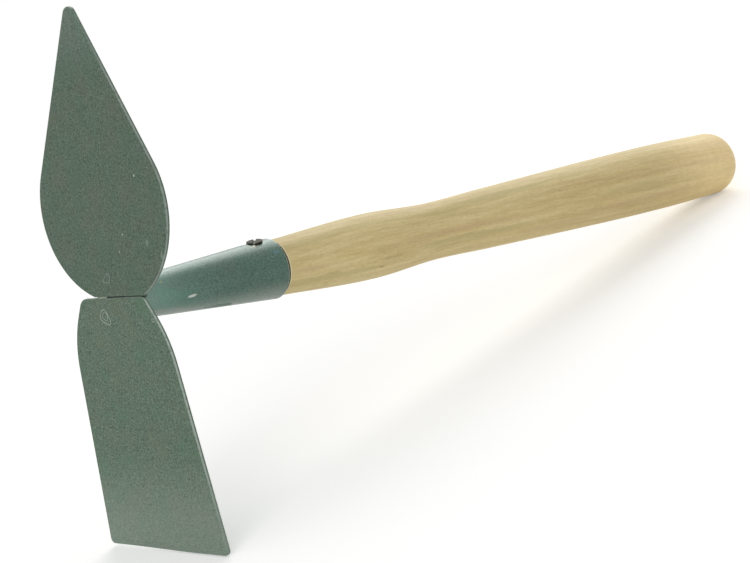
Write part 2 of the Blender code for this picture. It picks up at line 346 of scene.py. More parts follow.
def end_tree(add: Adder, given: Node, skin: Node, size: str, height: str, pattern: dict) -> None:
    """Ends a geometry tree: noise moves its skin in and out, and the skin gets its finish.

    Args:
        add: what adds a node to the tree.
        given: the tree's input node.
        skin: the node that gives the skin.
        size: the tree's input for the noise's size.
        height: the tree's input for how far the noise moves the skin.
        pattern: the noise's other inputs.
    """
    scale = add(MATH, (1.0, given.outputs[size]), operation="DIVIDE")
    noise = add(NOISE, {"Scale": scale, **pattern})
    middle = add(MATH, (noise, 0.5), operation="SUBTRACT")
    depth = add(MATH, (middle, given.outputs[height]), operation="MULTIPLY")
    push = add(VECTOR, (add("GeometryNodeInputNormal"), depth), operation="SCALE")
    moved = add("GeometryNodeSetPosition", {"Geometry": skin, "Offset": push})
    real = add("GeometryNodeRealizeInstances", {"Geometry": moved})
    dressed = add("GeometryNodeSetMaterial", {"Geometry": real, "Material": given.outputs["Finish"]})
    add("NodeGroupOutput", {"Geometry": dressed})


def turning_tree() -> NodeTree:
    """Builds the tree that turns a piece: a path with a radius at each point gets its round skin.

    Returns:
        The tree, with inputs for the count of sides and for the fine rings that the lathe leaves.
    """
    tree, add, given = geometry_tree("turning", {"Sides": 64, "Ring Pitch": 2 * MM, "Ring Depth": 0.0})
    radius = add("GeometryNodeInputNamedAttribute", {"Name": "radius"}, data_type="FLOAT")
    path = add("GeometryNodeMeshToCurve", {"Mesh": given})
    section = add("GeometryNodeCurvePrimitiveCircle", (given.outputs["Sides"], 1.0))
    skin = add("GeometryNodeCurveToMesh", (path, section, radius, False))
    closed = add("GeometryNodeMergeByDistance", {"Geometry": skin, "Distance": 3e-6})
    # The rings follow the lathe's feed, so their noise changes along the piece and hardly round it.
    place = add("GeometryNodeInputPosition")
    feed = add(VECTOR, (place, (0.05, 1.0, 0.05)), operation="MULTIPLY")
    end_tree(add, given, closed, "Ring Pitch", "Ring Depth", {"Vector": feed, "Detail": 2.0})
    return tree


def bead_tree() -> NodeTree:
    """Builds the tree that lays a bead along a path, with even ripples, soft lumps and rounded ends.

    Returns:
        The tree, with inputs for the bead's radius, ripples, lumps and taper.
    """
    tree, add, given = geometry_tree("bead", {
        "Radius": 1.4 * MM, "Sides": 16, "Step": 0.2 * MM, "Ripple Pitch": 1.6 * MM, "Ripple Depth": 0.0,
        "Lump Size": 3 * MM, "Lump Height": 0.0, "Taper": 0.0,
    })
    sizes = given.outputs
    path = add("GeometryNodeMeshToCurve", {"Mesh": given})
    even = add("GeometryNodeResampleCurve", {"Curve": path, "Length": sizes["Step"]}, mode="LENGTH")
    along = add("GeometryNodeSplineParameter").outputs
    # Ripples: |sin| along the bead gives the sharp valleys between round weld pools.
    ripple = along["Length"]
    for operation, *values in (
        ("DIVIDE", sizes["Ripple Pitch"]), ("MULTIPLY", math.pi), ("SINE",), ("ABSOLUTE",),
        ("SUBTRACT", 1.0), ("MULTIPLY_ADD", sizes["Ripple Depth"], 1.0),
    ):
        ripple = add(MATH, (ripple, *values), operation=operation)
    # Taper: the distance to the nearer end, as a share of the whole, over the taper's own share.
    back = add(MATH, (1.0, along["Factor"]), operation="SUBTRACT")
    near = add(MATH, (along["Factor"], back), operation="MINIMUM")
    share = add(RANGE, (near, 0.0, sizes["Taper"], 0.03, 1.0))
    rounded = add(MATH, (share, 0.5), operation="POWER")
    size = add(MATH, (rounded, ripple), operation="MULTIPLY")
    section = add("GeometryNodeCurvePrimitiveCircle", (sizes["Sides"], sizes["Radius"]))
    skin = add("GeometryNodeCurveToMesh", (even, section, size, True))
    end_tree(add, given, skin, "Lump Size", "Lump Height", {"Detail": 1.0})
    return tree


@dataclass(frozen=True)
class Workshop:
    """What every sub-assembly is made with: the tool's place and the two geometry trees."""

    tool: Matrix
    turning: NodeTree
    bead: NodeTree

    def run(self, obj: Object, tree: NodeTree, place: Matrix, **values) -> None:
        """Runs a geometry tree on an object and keeps the result as its plain mesh.

        Args:
            obj: the object, whose mesh goes in.
            tree: the tree.
            place: the matrix from the object's own frame to the tool's.
            **values: the tree's inputs, by name with _ for a space.
        """
        modifier = obj.modifiers.new(tree.name, "NODES")
        modifier.node_group = tree
        wanted = {name.replace("_", " "): value for name, value in values.items()}
        for item in tree.interface.items_tree:
            if item.item_type == "SOCKET" and item.in_out == "INPUT" and item.name.lower() in wanted:
                modifier[item.identifier] = wanted[item.name.lower()]
        settle(obj, self.tool @ place)

    def lay_bead(
        self, name: str, path: Points, slot: Slot, node: str | None = None, wear: float = 0.0,
        closed: bool = False, **values,
    ) -> None:
        """Args:
            name: the piece's name.
            path: the bead's middle line.
            slot: the slot of its finish.
            node: the node that it replaces, if any.
            wear: how far its paint is worn through.
            closed: whether the path returns to its start.
            **values: the bead tree's inputs, its finish among them.
        """
        count = len(path)
        edges = [(i, (i + 1) % count) for i in range(count if closed else count - 1)]
        made = new_object(name, path, edges=edges)
        self.run(made, self.bead, HERE, **values)
        store(made, "rim", [wear] * len(made.data.vertices))
        add_piece(made, slot, node)

    def turn(
        self, name: str, profile: Points, place: Matrix, rise: Callable = lambda y: 0.0, **values
    ) -> Object:
        """Turns a profile about the Y axis.

        Args:
            name: the piece's name.
            profile: the (radius, y) points, from end to end, with y always growing.
            place: the matrix from the profile's own frame to the tool's.
            rise: how far the axis is lifted at each y.
            **values: the turning tree's inputs, its finish among them.

        Returns:
            The turned piece, in its place.
        """
        path = [(0.0, y, rise(y)) for _, y in profile]
        made = new_object(name, path, edges=[(i, i + 1) for i in range(len(path) - 1)])
        store(made, "radius", [radius for radius, _ in profile])
        self.run(made, self.turning, place, **values)
        return made


@dataclass(frozen=True)
class ToolFrame:
    """How the tool lies on the ground, worked out from the face of the leaf in the record."""

    leaf_lean: float = math.radians(0.5)
    leaf_offset: float = 1.7 * MM
    face_height: float = 38.8 * MM

    def matrix(self, record: dict) -> Matrix:
        """Finds the matrix from the frame of the tool to the row's frame.

        Args:
            record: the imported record, with its mounts.

        Returns:
            The matrix.
        """
        face = next(m for m in record["mounts"] if m["name"] == "leaf_face")
        slope = math.atan2(face["axis"][2], -face["axis"][1]) + self.leaf_lean
        turn = Matrix.Rotation(-slope, 4, "X")
        lean = Matrix.Rotation(self.leaf_lean, 4, "X")
        point = Vector((self.leaf_offset, 0, 0)) + lean @ Vector((0, 0, self.face_height))
        return Matrix.Translation(Vector(face["pos_m"]) - turn @ point) @ turn


# Finishes


@dataclass(frozen=True)
class Mark:
    """A small spot in a surface, such as a chip or a dust nib, as a flat ellipse with a ragged edge."""

    centre: Vector
    along: Vector
    half_length: float
    half_width: float
    colour: str
    strength: float
    ragged_size: float = 0.8 * MM
    raggedness: float = 0.9
    edge: Sequence[float] = (1.6, 1.2)

    def paint(self, add: Adder, coords: NodeSocket, colour: object, tool: Matrix) -> Node:
        """Adds the spot to a colour.

        Args:
            add: what adds a node to the material.
            coords: the Object coordinates.
            colour: the colour so far.
            tool: the matrix of the tool.

        Returns:
            The node that gives the new colour.
        """
        turn = self.along.to_track_quat("Y", "Z").to_matrix().to_4x4()
        place = tool @ Matrix.Translation(self.centre) @ turn
        scale = (self.half_width, self.half_length, self.half_width)
        turned = Vector(place.to_euler())
        inside = add(MAPPING, (coords, place.translation, turned, scale), vector_type="TEXTURE")
        radius = add(VECTOR, (inside,), operation="LENGTH")
        noise = add(NOISE, (coords, 1 / self.ragged_size, 2.0))
        ragged = add(MATH, (noise, self.raggedness, radius), operation="MULTIPLY_ADD")
        return tinted(add, colour, ragged, self.edge, self.colour, self.strength)


@dataclass(frozen=True)
class FlakeEnamel:
    """Sprayed and stoved enamel with fine metal flake, on sheet steel.

    It gives the eye a dull grey-green sheet with a fine, even speckle, faint cooler clouds, an
    orange-peel skin and paler rims: worn thin paint at the socket's lip, slit and hole and on the burr
    and paint lines, and a painted highlight along the blades' edges. Painted light draws it paler in
    places along the tool.
    """

    name: str
    dark: str
    light: str
    cloud: str
    haze: str
    rim: str
    # Painted light, where the coat is drawn paler: the tool's axis, where that starts and ends, and the
    # colour it gains.
    painted_light_fades: Rows = ()
    # The flake is about 0.1 mm, too fine to show, so it is drawn at twice a pixel of the render.
    speckle: float = 0.75 * MM
    speckle_levels: Sequence[float] = (0.30, 0.70)
    flat_flakes: Sequence[float] = (0.80, 0.95)
    flat_share: float = 0.09
    cloud_size: float = 14 * MM
    cloud_levels: Sequence[float] = (0.50, 0.72)
    haze_levels: Sequence[float] = (0.50, 0.28)
    cloud_share: float = 0.5
    wear_size: float = 2.2 * MM
    wear_levels: Sequence[float] = (0.15, 0.50)
    # How much of the pale rim is lost where the last painted light fade is full.
    rim_loss: float = 0.75
    peel: float = 1.5 * MM
    peel_depth: float = 0.035 * MM
    metallic: float = 0.30
    matt: Sequence[float] = (0.44, 0.56)
    specular: float = 0.25
    coat: float = 0.25
    coat_roughness: float = 0.35

    def material(self, tool: Matrix, marks: Sequence[Mark] = ()) -> Material:
        """Builds the enamel's material.

        Args:
            tool: the matrix of the tool.
            marks: the small spots in it.

        Returns:
            The material.
        """
        made, add, shader, coords = new_material(self.name)
        grain = add(NOISE, (coords, 1 / self.speckle, 2.5, 0.7))
        colour = tinted(add, linear(self.dark), grain, self.speckle_levels, self.light)
        cloud = add(NOISE, (coords, 1 / self.cloud_size, 4.0, 0.6))
        for tint, levels in ((self.cloud, self.cloud_levels), (self.haze, self.haze_levels)):
            colour = tinted(add, colour, cloud, levels, tint, self.cloud_share)
        # Single flakes that lie flat catch the light as paler points.
        cells = add("ShaderNodeTexVoronoi", {"Vector": coords, "Scale": 1 / self.speckle})
        colour = tinted(add, colour, cells.outputs["Color"], self.flat_flakes, self.rim, self.flat_share)
        # The rim attribute is worn thin paint at the socket's lip, slit and hole and on the burr and paint
        # lines, and a painted highlight along the blades' edges; noise makes it patchy.
        worn = add(NOISE, (coords, 1 / self.wear_size, 3.0))
        patchy = add(RANGE, (worn, *self.wear_levels))
        rim = add("ShaderNodeAttribute", attribute_name="rim").outputs["Fac"]
        thin = add(MATH, (rim, patchy), operation="MULTIPLY")
        # Painted light: the coat is drawn paler along the tool's axis, and the pale rim gives way where the
        # last of it is full.
        inside = add(MAPPING, (coords, tool.translation, Vector(tool.to_euler())), vector_type="TEXTURE")
        places = add("ShaderNodeSeparateXYZ", (inside,))
        for axis, first, last, gain in self.painted_light_fades:
            paler = add(RANGE, (places.outputs[axis], first, last), interpolation_type="SMOOTHSTEP")
            colour = add(MIX, (paler, colour, linear(gain)), data_type="RGBA", blend_type="ADD")
        if self.painted_light_fades:
            kept = add(MATH, (paler, -self.rim_loss, 1.0), operation="MULTIPLY_ADD")
            thin = add(MATH, (thin, kept), operation="MULTIPLY")
        colour = add(MIX, (thin, colour, linear(self.rim)), data_type="RGBA")
        for mark in marks:
            colour = mark.paint(add, coords, colour, tool)
        skin = add(NOISE, (coords, 1 / self.peel, 2.0))
        wire(shader, {
            "Base Color": colour,
            "Roughness": add(RANGE, (cloud, 0.0, 1.0, *self.matt)),
            "Normal": add(BUMP, {"Strength": 1.0, "Distance": self.peel_depth, "Height": skin}),
            "Metallic": self.metallic,
            "Specular IOR Level": self.specular,
            "Coat Weight": self.coat,
            "Coat Roughness": self.coat_roughness,
        })
        return made


@dataclass(frozen=True)
class TurnedWood:
    """Pale hardwood such as ash, turned and sanded, left bare.

    It gives the eye a matt buff surface with growth rings in long soft figures, fine fibres and short
    dark pores along the grain, and faint bands across it where the lathe tool rested.
    """

    name: str = "ash_turned_and_sanded"
    pale: str = "#E0CE9B"
    mid: str = "#CDB880"
    late: str = "#B69F68"
    # Painted light, added towards the butt.
    butt: str = "#887862"
    # Painted shade in the groove by the mouth of the socket, then a pale band at the shoulder.
    groove_shade: str = "#5A5238"
    cut: str = "#F2E8C4"
    ring_spacing: float = 3.4 * MM
    ring_wander: float = 7 * MM
    ring_weight: float = 0.12
    pith: Sequence[float] = (41 * MM, -17 * MM)
    # Noise in the stick: its name, how fast it changes across and along the stick, its size, detail and
    # roughness, and its weight in the tone. Fibres are about 0.1 mm wide, too fine to show, so they are
    # drawn 0.7 mm wide.
    noises: Rows = (
        ("drift", 1.0, 0.10, 15 * MM, 2.0, 0.5, 0.0),
        ("fibres", 1.0, 0.055, 0.7 * MM, 4.0, 0.6, 0.75),
        ("streaks", 1.0, 0.055, 4.5 * MM, 3.0, 0.5, 0.9),
        ("fuzz", 1.0, 0.35, 0.8 * MM, 2.0, 0.7, 0.55),
        ("tints", 1.0, 0.055, 7 * MM, 2.0, 0.5, 0.0),
        ("pores", 1.0, 0.13, 0.55 * MM, 1.0, 0.5, 0.0),
        ("bands", 0.25, 1.0, 4 * MM, 1.0, 0.5, 0.0),
    )
    tone_start: float = 0.09
    tone_levels: Sequence[float] = (0.85, 1.70)
    # Broad faint streaks of a pinker and an olive tone, then pores as short dark dashes: the noise, its
    # levels, the tint and its largest share.
    tints: Rows = (
        ("tints", (0.56, 0.70), "#C2A47E", 0.5),
        ("tints", (0.44, 0.30), "#AFA36B", 0.5),
        ("pores", (0.64, 0.80), "#8F7C4E", 0.32),
    )
    mouth_y: float = 86.8 * MM
    groove_length: float = 1.75 * MM
    cut_width: float = 0.4 * MM
    band_levels: Sequence[float] = (0.45, 0.75)
    band_share: float = 0.25
    band_start: float = 330 * MM
    band_fade: float = 30 * MM
    butt_fade: float = 60 * MM
    matt: Sequence[float] = (0.50, 0.68)
    raised: float = 0.05 * MM
    raised_strength: float = 0.6
    fuzz_sheen: float = 0.5
    fuzz_tint: str = "#FFE9B4"

    def material(self, tool: Matrix, marks: Sequence[Mark] = ()) -> Material:
        """Builds the wood's material.

        Args:
            tool: the matrix of the tool.
            marks: the small spots in it.

        Returns:
            The material.
        """
        made, add, shader, coords = new_material(self.name)
        stick = add(MAPPING, (coords, tool.translation, Vector(tool.to_euler())), vector_type="TEXTURE")
        noise, tone = {}, self.tone_start
        for name, across, along, size, detail, rough, weight in self.noises:
            drawn = add(VECTOR, (stick, (across, along, across)), operation="MULTIPLY")
            noise[name] = add(NOISE, (drawn, 1 / size, detail, rough))
            if weight:
                tone = add(MATH, (noise[name], weight, tone), operation="MULTIPLY_ADD")
        # Growth rings: round the pith, which lies outside the stick, and wandering along it.
        bent = noise["drift"].outputs["Color"]
        for operation, *values in (
            ("SUBTRACT", (0.5, 0.5, 0.5)), ("MULTIPLY_ADD", (self.ring_wander,) * 3, stick),
            ("SUBTRACT", (self.pith[0], 0.0, self.pith[1])),
        ):
            bent = add(VECTOR, (bent, *values), operation=operation)
        rings = add(
            "ShaderNodeTexWave", {"Vector": bent, "Scale": math.tau / (20 * self.ring_spacing)},
            wave_type="RINGS", rings_direction="Y", wave_profile="SIN",
        ).outputs["Fac"]
        tone = add(MATH, (rings, self.ring_weight, tone), operation="MULTIPLY_ADD")
        ramp = add("ShaderNodeValToRGB", (add(RANGE, (tone, *self.tone_levels)),))
        ramp.color_ramp.elements[0].color = linear(self.pale)
        ramp.color_ramp.elements[1].color = linear(self.late)
        ramp.color_ramp.elements.new(0.5).color = linear(self.mid)
        colour = ramp
        for name, levels, tint, most in self.tints:
            colour = tinted(add, colour, noise[name], levels, tint, most)
        # Bands across the end of the stick, where the lathe tool rested.
        y = add("ShaderNodeSeparateXYZ", (stick,)).outputs["Y"]
        banded = add(RANGE, (noise["bands"], *self.band_levels, 0.0, self.band_share))
        end = add(RANGE, (y, self.band_start, self.band_start + self.band_fade))
        marked = add(MATH, (banded, end), operation="MULTIPLY")
        colour = add(MIX, (marked, colour, linear(self.late)), data_type="RGBA")
        # At the mouth of the socket, painted shade in the groove and then a pale band at the wood's
        # shoulder.
        for tint, start, width in (
            (self.groove_shade, self.mouth_y, self.groove_length),
            (self.cut, self.mouth_y + self.groove_length, self.cut_width),
        ):
            inside = add(MATH, (y, start + width / 2, width / 2), operation="COMPARE")
            colour = add(MIX, (inside, colour, linear(tint)), data_type="RGBA")
        # Painted light: the colour is drawn paler towards the butt.
        fade = (self.band_start, self.band_start + self.butt_fade)
        paler = add(RANGE, (y, *fade), interpolation_type="SMOOTHSTEP")
        colour = add(MIX, (paler, colour, linear(self.butt)), data_type="RGBA", blend_type="ADD")
        for mark in marks:
            colour = mark.paint(add, coords, colour, tool)
        height = {"Strength": self.raised_strength, "Distance": self.raised, "Height": noise["fibres"]}
        # Sanding leaves fine raised fibres, whose sheen catches the light towards the outline.
        wire(shader, {
            "Base Color": colour,
            "Roughness": add(RANGE, (noise["fibres"], 0.0, 1.0, *self.matt)),
            "Normal": add(BUMP, height),
            "IOR": 1.5,
            "Specular IOR Level": 0.5,
            "Sheen Weight": self.fuzz_sheen,
            "Sheen Roughness": 0.4,
            "Sheen Tint": linear(self.fuzz_tint),
        })
        return made


@dataclass(frozen=True)
class BlackenedSteel:
    """Carbon steel, cold-headed and blackened by oil and rust.

    It gives the eye a dark olive-brown metal, blotched, with brighter metal on its worn edges.
    """

    name: str = "blackened_carbon_steel"
    dark: str = "#1C1D18"
    brown: str = "#36362B"
    worn: str = "#68685B"
    blotch: float = 1.1 * MM
    blotch_levels: Sequence[float] = (0.35, 0.65)
    pitting: float = 0.04 * MM
    metallic: float = 0.9
    matt: Sequence[float] = (0.48, 0.72)

    def material(self) -> Material:
        """Builds the steel's material.

        Returns:
            The material.
        """
        made, add, shader, coords = new_material(self.name)
        blotches = add(NOISE, (coords, 1 / self.blotch, 4.0))
        spread = add(RANGE, (blotches, *self.blotch_levels))
        body = add(MIX, (spread, linear(self.dark), linear(self.brown)), data_type="RGBA")
        rim = add("ShaderNodeAttribute", attribute_name="rim").outputs["Fac"]
        bright = add(MATH, (rim, spread), operation="MULTIPLY")
        pits = {"Strength": 0.8, "Distance": self.pitting, "Height": blotches}
        wire(shader, {
            "Base Color": add(MIX, (bright, body, linear(self.worn)), data_type="RGBA"),
            "Roughness": add(RANGE, (blotches, 0.0, 1.0, *self.matt)),
            "Normal": add(BUMP, pits),
            "Metallic": self.metallic,
        })
        return made


@dataclass(frozen=True)
class PaperFloor:
    """Matt white background paper, which gives the eye a plain pale ground with a soft shadow."""

    name: str = "white_background_paper"
    colour: str = "#F2F2F0"
    fleck: str = "#F6F6F5"
    fibre: float = 3 * MM
    roughness: float = 0.9
    lift: float = 0.27
    fade_start: float = 0.30
    fade_end: float = 0.75

    def material(self) -> Material:
        """Builds the paper's material, which the camera and reflections see fade to white further out.

        Returns:
            The material.
        """
        made, add, shader, coords = new_material(self.name)
        fibres = add(NOISE, (coords, 1 / self.fibre))
        seen = seen_directly(add)
        away = add(VECTOR, (coords,), operation="LENGTH")
        fade = add(RANGE, (away, self.fade_start, self.fade_end), interpolation_type="SMOOTHSTEP")
        share = add(MATH, (fade, seen), operation="MULTIPLY")
        mix = add("ShaderNodeMixShader", (share, shader, add("ShaderNodeEmission", {"Strength": 1.0})))
        wire(made.node_tree.nodes["Material Output"], {"Surface": mix})
        colours = (linear(self.colour), linear(self.fleck))
        wire(shader, {
            "Base Color": add(MIX, (fibres, *colours), data_type="RGBA"),
            "Emission Strength": add(MATH, (seen, self.lift), operation="MULTIPLY"),
            "Emission Color": WHITE,
            "Roughness": self.roughness,
            "Specular IOR Level": 0.0,
        })
        return made


def seen_directly(add: Adder) -> Node:
    """Tells the rays of the camera, of reflections and through glass from the rest.

    Args:
        add: what adds a node to the material or the world.

    Returns:
        The node that gives 1 for such a ray and 0 for the others.
    """
    path = add("ShaderNodeLightPath").outputs
    found = path["Is Camera Ray"]
    for kind in ("Is Glossy Ray", "Is Transmission Ray"):
        found = add(MATH, (found, path[kind]), operation="MAXIMUM")
    return found


# Outlines


def arc(centre: Sequence[float], radius: float, start: float, end: float) -> list[tuple[float, float]]:
    """Draws an arc, both ends included.

    Args:
        centre: its centre.
        radius: its radius.
        start: its first angle.
        end: its last angle.

    Returns:
        The points.
    """
    steps = max(2, math.ceil(abs(end - start) / ARC_STEP))
    angles = np.linspace(start, end, steps + 1)
    return [(centre[0] + radius * math.cos(a), centre[1] + radius * math.sin(a)) for a in angles]


def filleted(corners: Points) -> list[tuple[float, float]]:
    """Draws the closed outline through corners, each rounded by its own radius.

    Args:
        corners: (x, z, fillet radius) of each corner.

    Returns:
        The points.
    """
    outline = []
    for index, (x, z, radius) in enumerate(corners):
        here = Vector((x, z))
        back = (Vector(corners[index - 1][:2]) - here).normalized()
        ahead = (Vector(corners[(index + 1) % len(corners)][:2]) - here).normalized()
        half = back.angle(ahead) / 2
        centre = here + (back + ahead).normalized() * radius / math.sin(half)
        first = here + back * radius / math.tan(half) - centre
        last = here + ahead * radius / math.tan(half) - centre
        start = math.atan2(first.y, first.x)
        turn = (math.atan2(last.y, last.x) - start + math.pi) % math.tau - math.pi
        outline += arc(centre, radius, start, start + turn)
    return outline


def evened(outline: Points, step: float) -> np.ndarray:
    """Adds points to a closed outline, so that none of its sides is longer than a step.

    Args:
        outline: the outline.
        step: the longest side.

    Returns:
        The points, the outline's own among them.
    """
    result = []
    for here, there in zip(np.array(outline), np.roll(outline, -1, 0)):
        parts = max(1, math.ceil(math.dist(here, there) / step))
        result += [here + (there - here) * i / parts for i in range(parts)]
    return np.array(result)


def inset(outline: np.ndarray, depth: float) -> np.ndarray:
    """Moves a closed, anticlockwise outline inwards.

    Args:
        outline: the outline.
        depth: how far it moves.

    Returns:
        The moved points.
    """
    ahead = np.roll(outline, -1, 0) - outline
    ahead /= np.linalg.norm(ahead, axis=1)[:, None]
    behind = np.roll(ahead, 1, 0)
    inwards = np.column_stack([-ahead[:, 1] - behind[:, 1], ahead[:, 0] + behind[:, 0]])
    inwards /= np.linalg.norm(inwards, axis=1)[:, None]
    stretch = np.abs(inwards[:, 0] * -ahead[:, 1] + inwards[:, 1] * ahead[:, 0])
    return outline + inwards * (depth / np.maximum(stretch, 0.5))[:, None]


def shrunk(ring: Points, share: float) -> list[tuple[float, ...]]:
    """Draws a ring towards its own middle, to a share of its size."""
    middle = np.mean(ring, axis=0)
    return [tuple(middle + (np.array(p) - middle) * share) for p in ring]


def smooth_loop(stations: Points, parts: int = 10) -> list[tuple[float, float]]:
    """Draws a smooth closed line through stations.

    Args:
        stations: the points that it passes.
        parts: the count of points from one station to the next.

    Returns:
        The points.
    """
    ring = np.array(stations)
    before, after, beyond = np.roll(ring, 1, 0), np.roll(ring, -1, 0), np.roll(ring, -2, 0)
    line = []
    for a, b, c, d in zip(before, ring, after, beyond):
        for t in np.arange(parts) / parts:
            bend = 2 * a - 5 * b + 4 * c - d
            line.append(tuple(0.5 * (2 * b + (c - a) * t + bend * t**2 + (3 * b - a - 3 * c + d) * t**3)))
    return line


def smooth_curve(stations: Points, at: np.ndarray) -> np.ndarray:
    """Draws a smooth curve through stations, which never passes beyond them.

    Args:
        stations: (distance, value) of each station.
        at: the distances to read.

    Returns:
        The values there.
    """
    x, y = np.array(stations).T
    step = np.diff(x)
    rise = np.diff(y) / step
    slope = np.zeros(len(x))
    slope[0], slope[-1] = rise[0], rise[-1]
    for i in range(1, len(x) - 1):
        if rise[i - 1] * rise[i] > 0:
            near, far = 2 * step[i] + step[i - 1], step[i] + 2 * step[i - 1]
            slope[i] = (near + far) / (near / rise[i - 1] + far / rise[i])
    i = np.clip(np.searchsorted(x, at) - 1, 0, len(x) - 2)
    t = (at - x[i]) / step[i]
    start = (1 + 2 * t) * (1 - t) ** 2 * y[i] + t * (1 - t) ** 2 * step[i] * slope[i]
    end = t**2 * (3 - 2 * t) * y[i + 1] - t**2 * (1 - t) * step[i] * slope[i + 1]
    return start + end


# Sub-assemblies


@dataclass
class Blade:
    """A flat sheet blade with a softened rim."""

    shop: Workshop
    paint: FlakeEnamel
    name: str
    slot: Slot
    stands_for: str
    lean: float
    offset: float
    top_height: float = 0.0
    thickness: float = 2.0 * MM
    rim_radius: float = 0.6 * MM
    back_radius: float = 0.4 * MM
    rim_steps: int = 6
    side_steps: int = 7
    support: float = 0.3 * MM
    longest_side: float = 1.5 * MM
    fill_shares: tuple[float, ...] = (0.0, 0.2, 0.4, 0.6, 0.8)
    # Painted highlight along the rim, fullest a little before the middle of the rim: where, and how far
    # that reaches.
    highlight_middle: float = 0.33
    highlight_reach: float = 0.28
    # Spots in the paint: (x, z), half length and half width in millimetres, colour and strength.
    spots: Rows = ()
    # Raised lines of paint: name, radius and (x, z) stations in millimetres.
    lines: Rows = ()
    line_rise: float = 0.35
    line_wear: float = 0.75
    finish: Material = field(init=False)

    def __post_init__(self) -> None:
        """Makes the blade's own material, with its spots."""
        place = self.place()
        marks = [
            Mark(place @ Vector((x * MM, 0, z * MM)), Vector((0, 0, 1)), long * MM, wide * MM, *look)
            for x, z, long, wide, *look in self.spots
        ]
        self.finish = self.paint.material(self.shop.tool, marks)

    def outline(self) -> Points:
        """Draws the blade's outline on its own flat, anticlockwise."""
        raise NotImplementedError

    def place(self) -> Matrix:
        """Finds the matrix from the blade's own flat to the frame of the tool."""
        top = (self.offset, -self.top_height * math.tan(self.lean), self.top_height)
        return Matrix.Translation(top) @ Matrix.Rotation(self.lean, 4, "X")

    def build(self) -> None:
        """Builds the sheet: two flats, each with a supporting ring, and the round of the rim between."""
        outline = evened(self.outline(), self.longest_side)
        arcs = [i / self.rim_steps * math.pi / 2 for i in range(self.rim_steps + 1)]
        front, back, thick = self.rim_radius, self.back_radius, self.thickness
        levels = [(front + self.support, 0.0)]
        levels += [(front * (1 - math.sin(a)), front * (1 - math.cos(a))) for a in arcs]
        levels += [(0.0, y) for y in np.linspace(front, thick - back, self.side_steps)[1:-1]]
        levels += [(back * (1 - math.sin(a)), thick - back * (1 - math.cos(a))) for a in reversed(arcs)]
        levels += [(back + self.support, thick)]
        rings, wear = [], []
        for depth, y in levels:
            rings.append([(x, y, z) for x, z in inset(outline, depth)])
            # Painted highlight: a pale band round the rim, kept in the rim attribute.
            bare = max(0.0, 1 - ((y / thick - self.highlight_middle) / self.highlight_reach) ** 2)
            wear += [bare if y < thick else 0.0] * len(outline)
        # Each flat is filled by rings that shrink to a point at its middle.
        front_fill = [shrunk(rings[0], share) for share in self.fill_shares]
        back_fill = [shrunk(rings[-1], share) for share in reversed(self.fill_shares)]
        whole = [0.0] * (len(outline) * len(self.fill_shares))
        made = new_object(self.name, *loft(front_fill + rings + back_fill))
        store(made, "rim", whole + wear + whole)
        finish_mesh(made.data, self.shop.tool @ self.place())
        made.data.materials.append(self.finish)
        add_piece(made, self.slot, self.stands_for)

    def build_lines(self) -> None:
        """Lays the thin raised lines that the paint has on the front of the blade."""
        place = self.place()
        for name, radius, stations in self.lines:
            path = smooth_loop([(x * MM, z * MM) for x, z in stations])
            self.shop.lay_bead(
                name, [place @ Vector((x, radius * self.line_rise, z)) for x, z in path], self.slot,
                wear=self.line_wear, closed=True, finish=self.finish, radius=radius, sides=10,
                step=0.25 * MM, lump_size=1.0 * MM, lump_height=radius * 0.5, taper=0.001,
            )


@dataclass
class LeafBlade(Blade):
    """The pointed leaf: quarter ellipses below its belly, cheek arcs, straight sides and a round tip."""

    name: str = "leaf_blade_sheet"
    slot: Slot = Slot.LEAF
    stands_for: str = "leaf_blade"
    lean: float = ToolFrame.leaf_lean
    offset: float = ToolFrame.leaf_offset
    width: float = 92.5 * MM
    base_left: float = 16.0 * MM
    base_right: float = 20.0 * MM
    base_height: float = 1.2 * MM
    belly_height: float = ToolFrame.face_height
    belly_steps: int = 40
    cheek_radius: float = 36.0 * MM
    point_half_angle: float = math.radians(29.4)
    tip_radius: float = 4.1 * MM
    # Pale flecks, then faint worn patches.
    spots: Rows = (
        (28.35, 51.86, 0.5, 0.45, "#B7C1B8", 0.9), (12.89, 27.66, 0.45, 0.45, "#B7C1B8", 0.8),
        (8.6, 20.36, 0.45, 0.4, "#B7C1B8", 0.7), (29.63, 23.28, 1.6, 1.1, "#8C9A90", 0.35),
        (38.66, 17.41, 1.8, 0.9, "#8C9A90", 0.4),
    )
    lines: Rows = (
        (
            "leaf_paint_ring", 0.16 * MM,
            ((-2.9, 11.6), (-4.8, 10.6), (-6.6, 9.0), (-7.1, 7.9), (-5.2, 7.4), (-2.7, 7.6), (-2.1, 9.6)),
        ),
    )

    def side(self, base: float) -> list[tuple[float, float]]:
        """Draws one side of the leaf's outline, from its base to its point.

        Args:
            base: half the width of the leaf's flat base on that side.

        Returns:
            The points, with the side to the right.
        """
        half = self.width / 2
        lowest = math.acos(base / half)
        drop = (self.belly_height - self.base_height) / math.sin(lowest)
        points = [
            (half * math.cos(a), self.belly_height + drop * math.sin(a))
            for a in np.linspace(-lowest, 0, self.belly_steps)[:-1]
        ]
        cheek = (half - self.cheek_radius, self.belly_height)
        points += arc(cheek, self.cheek_radius, 0, self.point_half_angle)
        reach = self.cheek_radius + cheek[0] * math.cos(self.point_half_angle) - self.tip_radius
        tip = (0, self.belly_height + reach / math.sin(self.point_half_angle))
        return points + arc(tip, self.tip_radius, self.point_half_angle, math.pi / 2)

    def outline(self) -> Points:
        """Draws the leaf's outline, which is a little fuller at the base on the right."""
        left = self.side(self.base_left)
        return self.side(self.base_right) + [(-x, z) for x, z in reversed(left[:-1])]


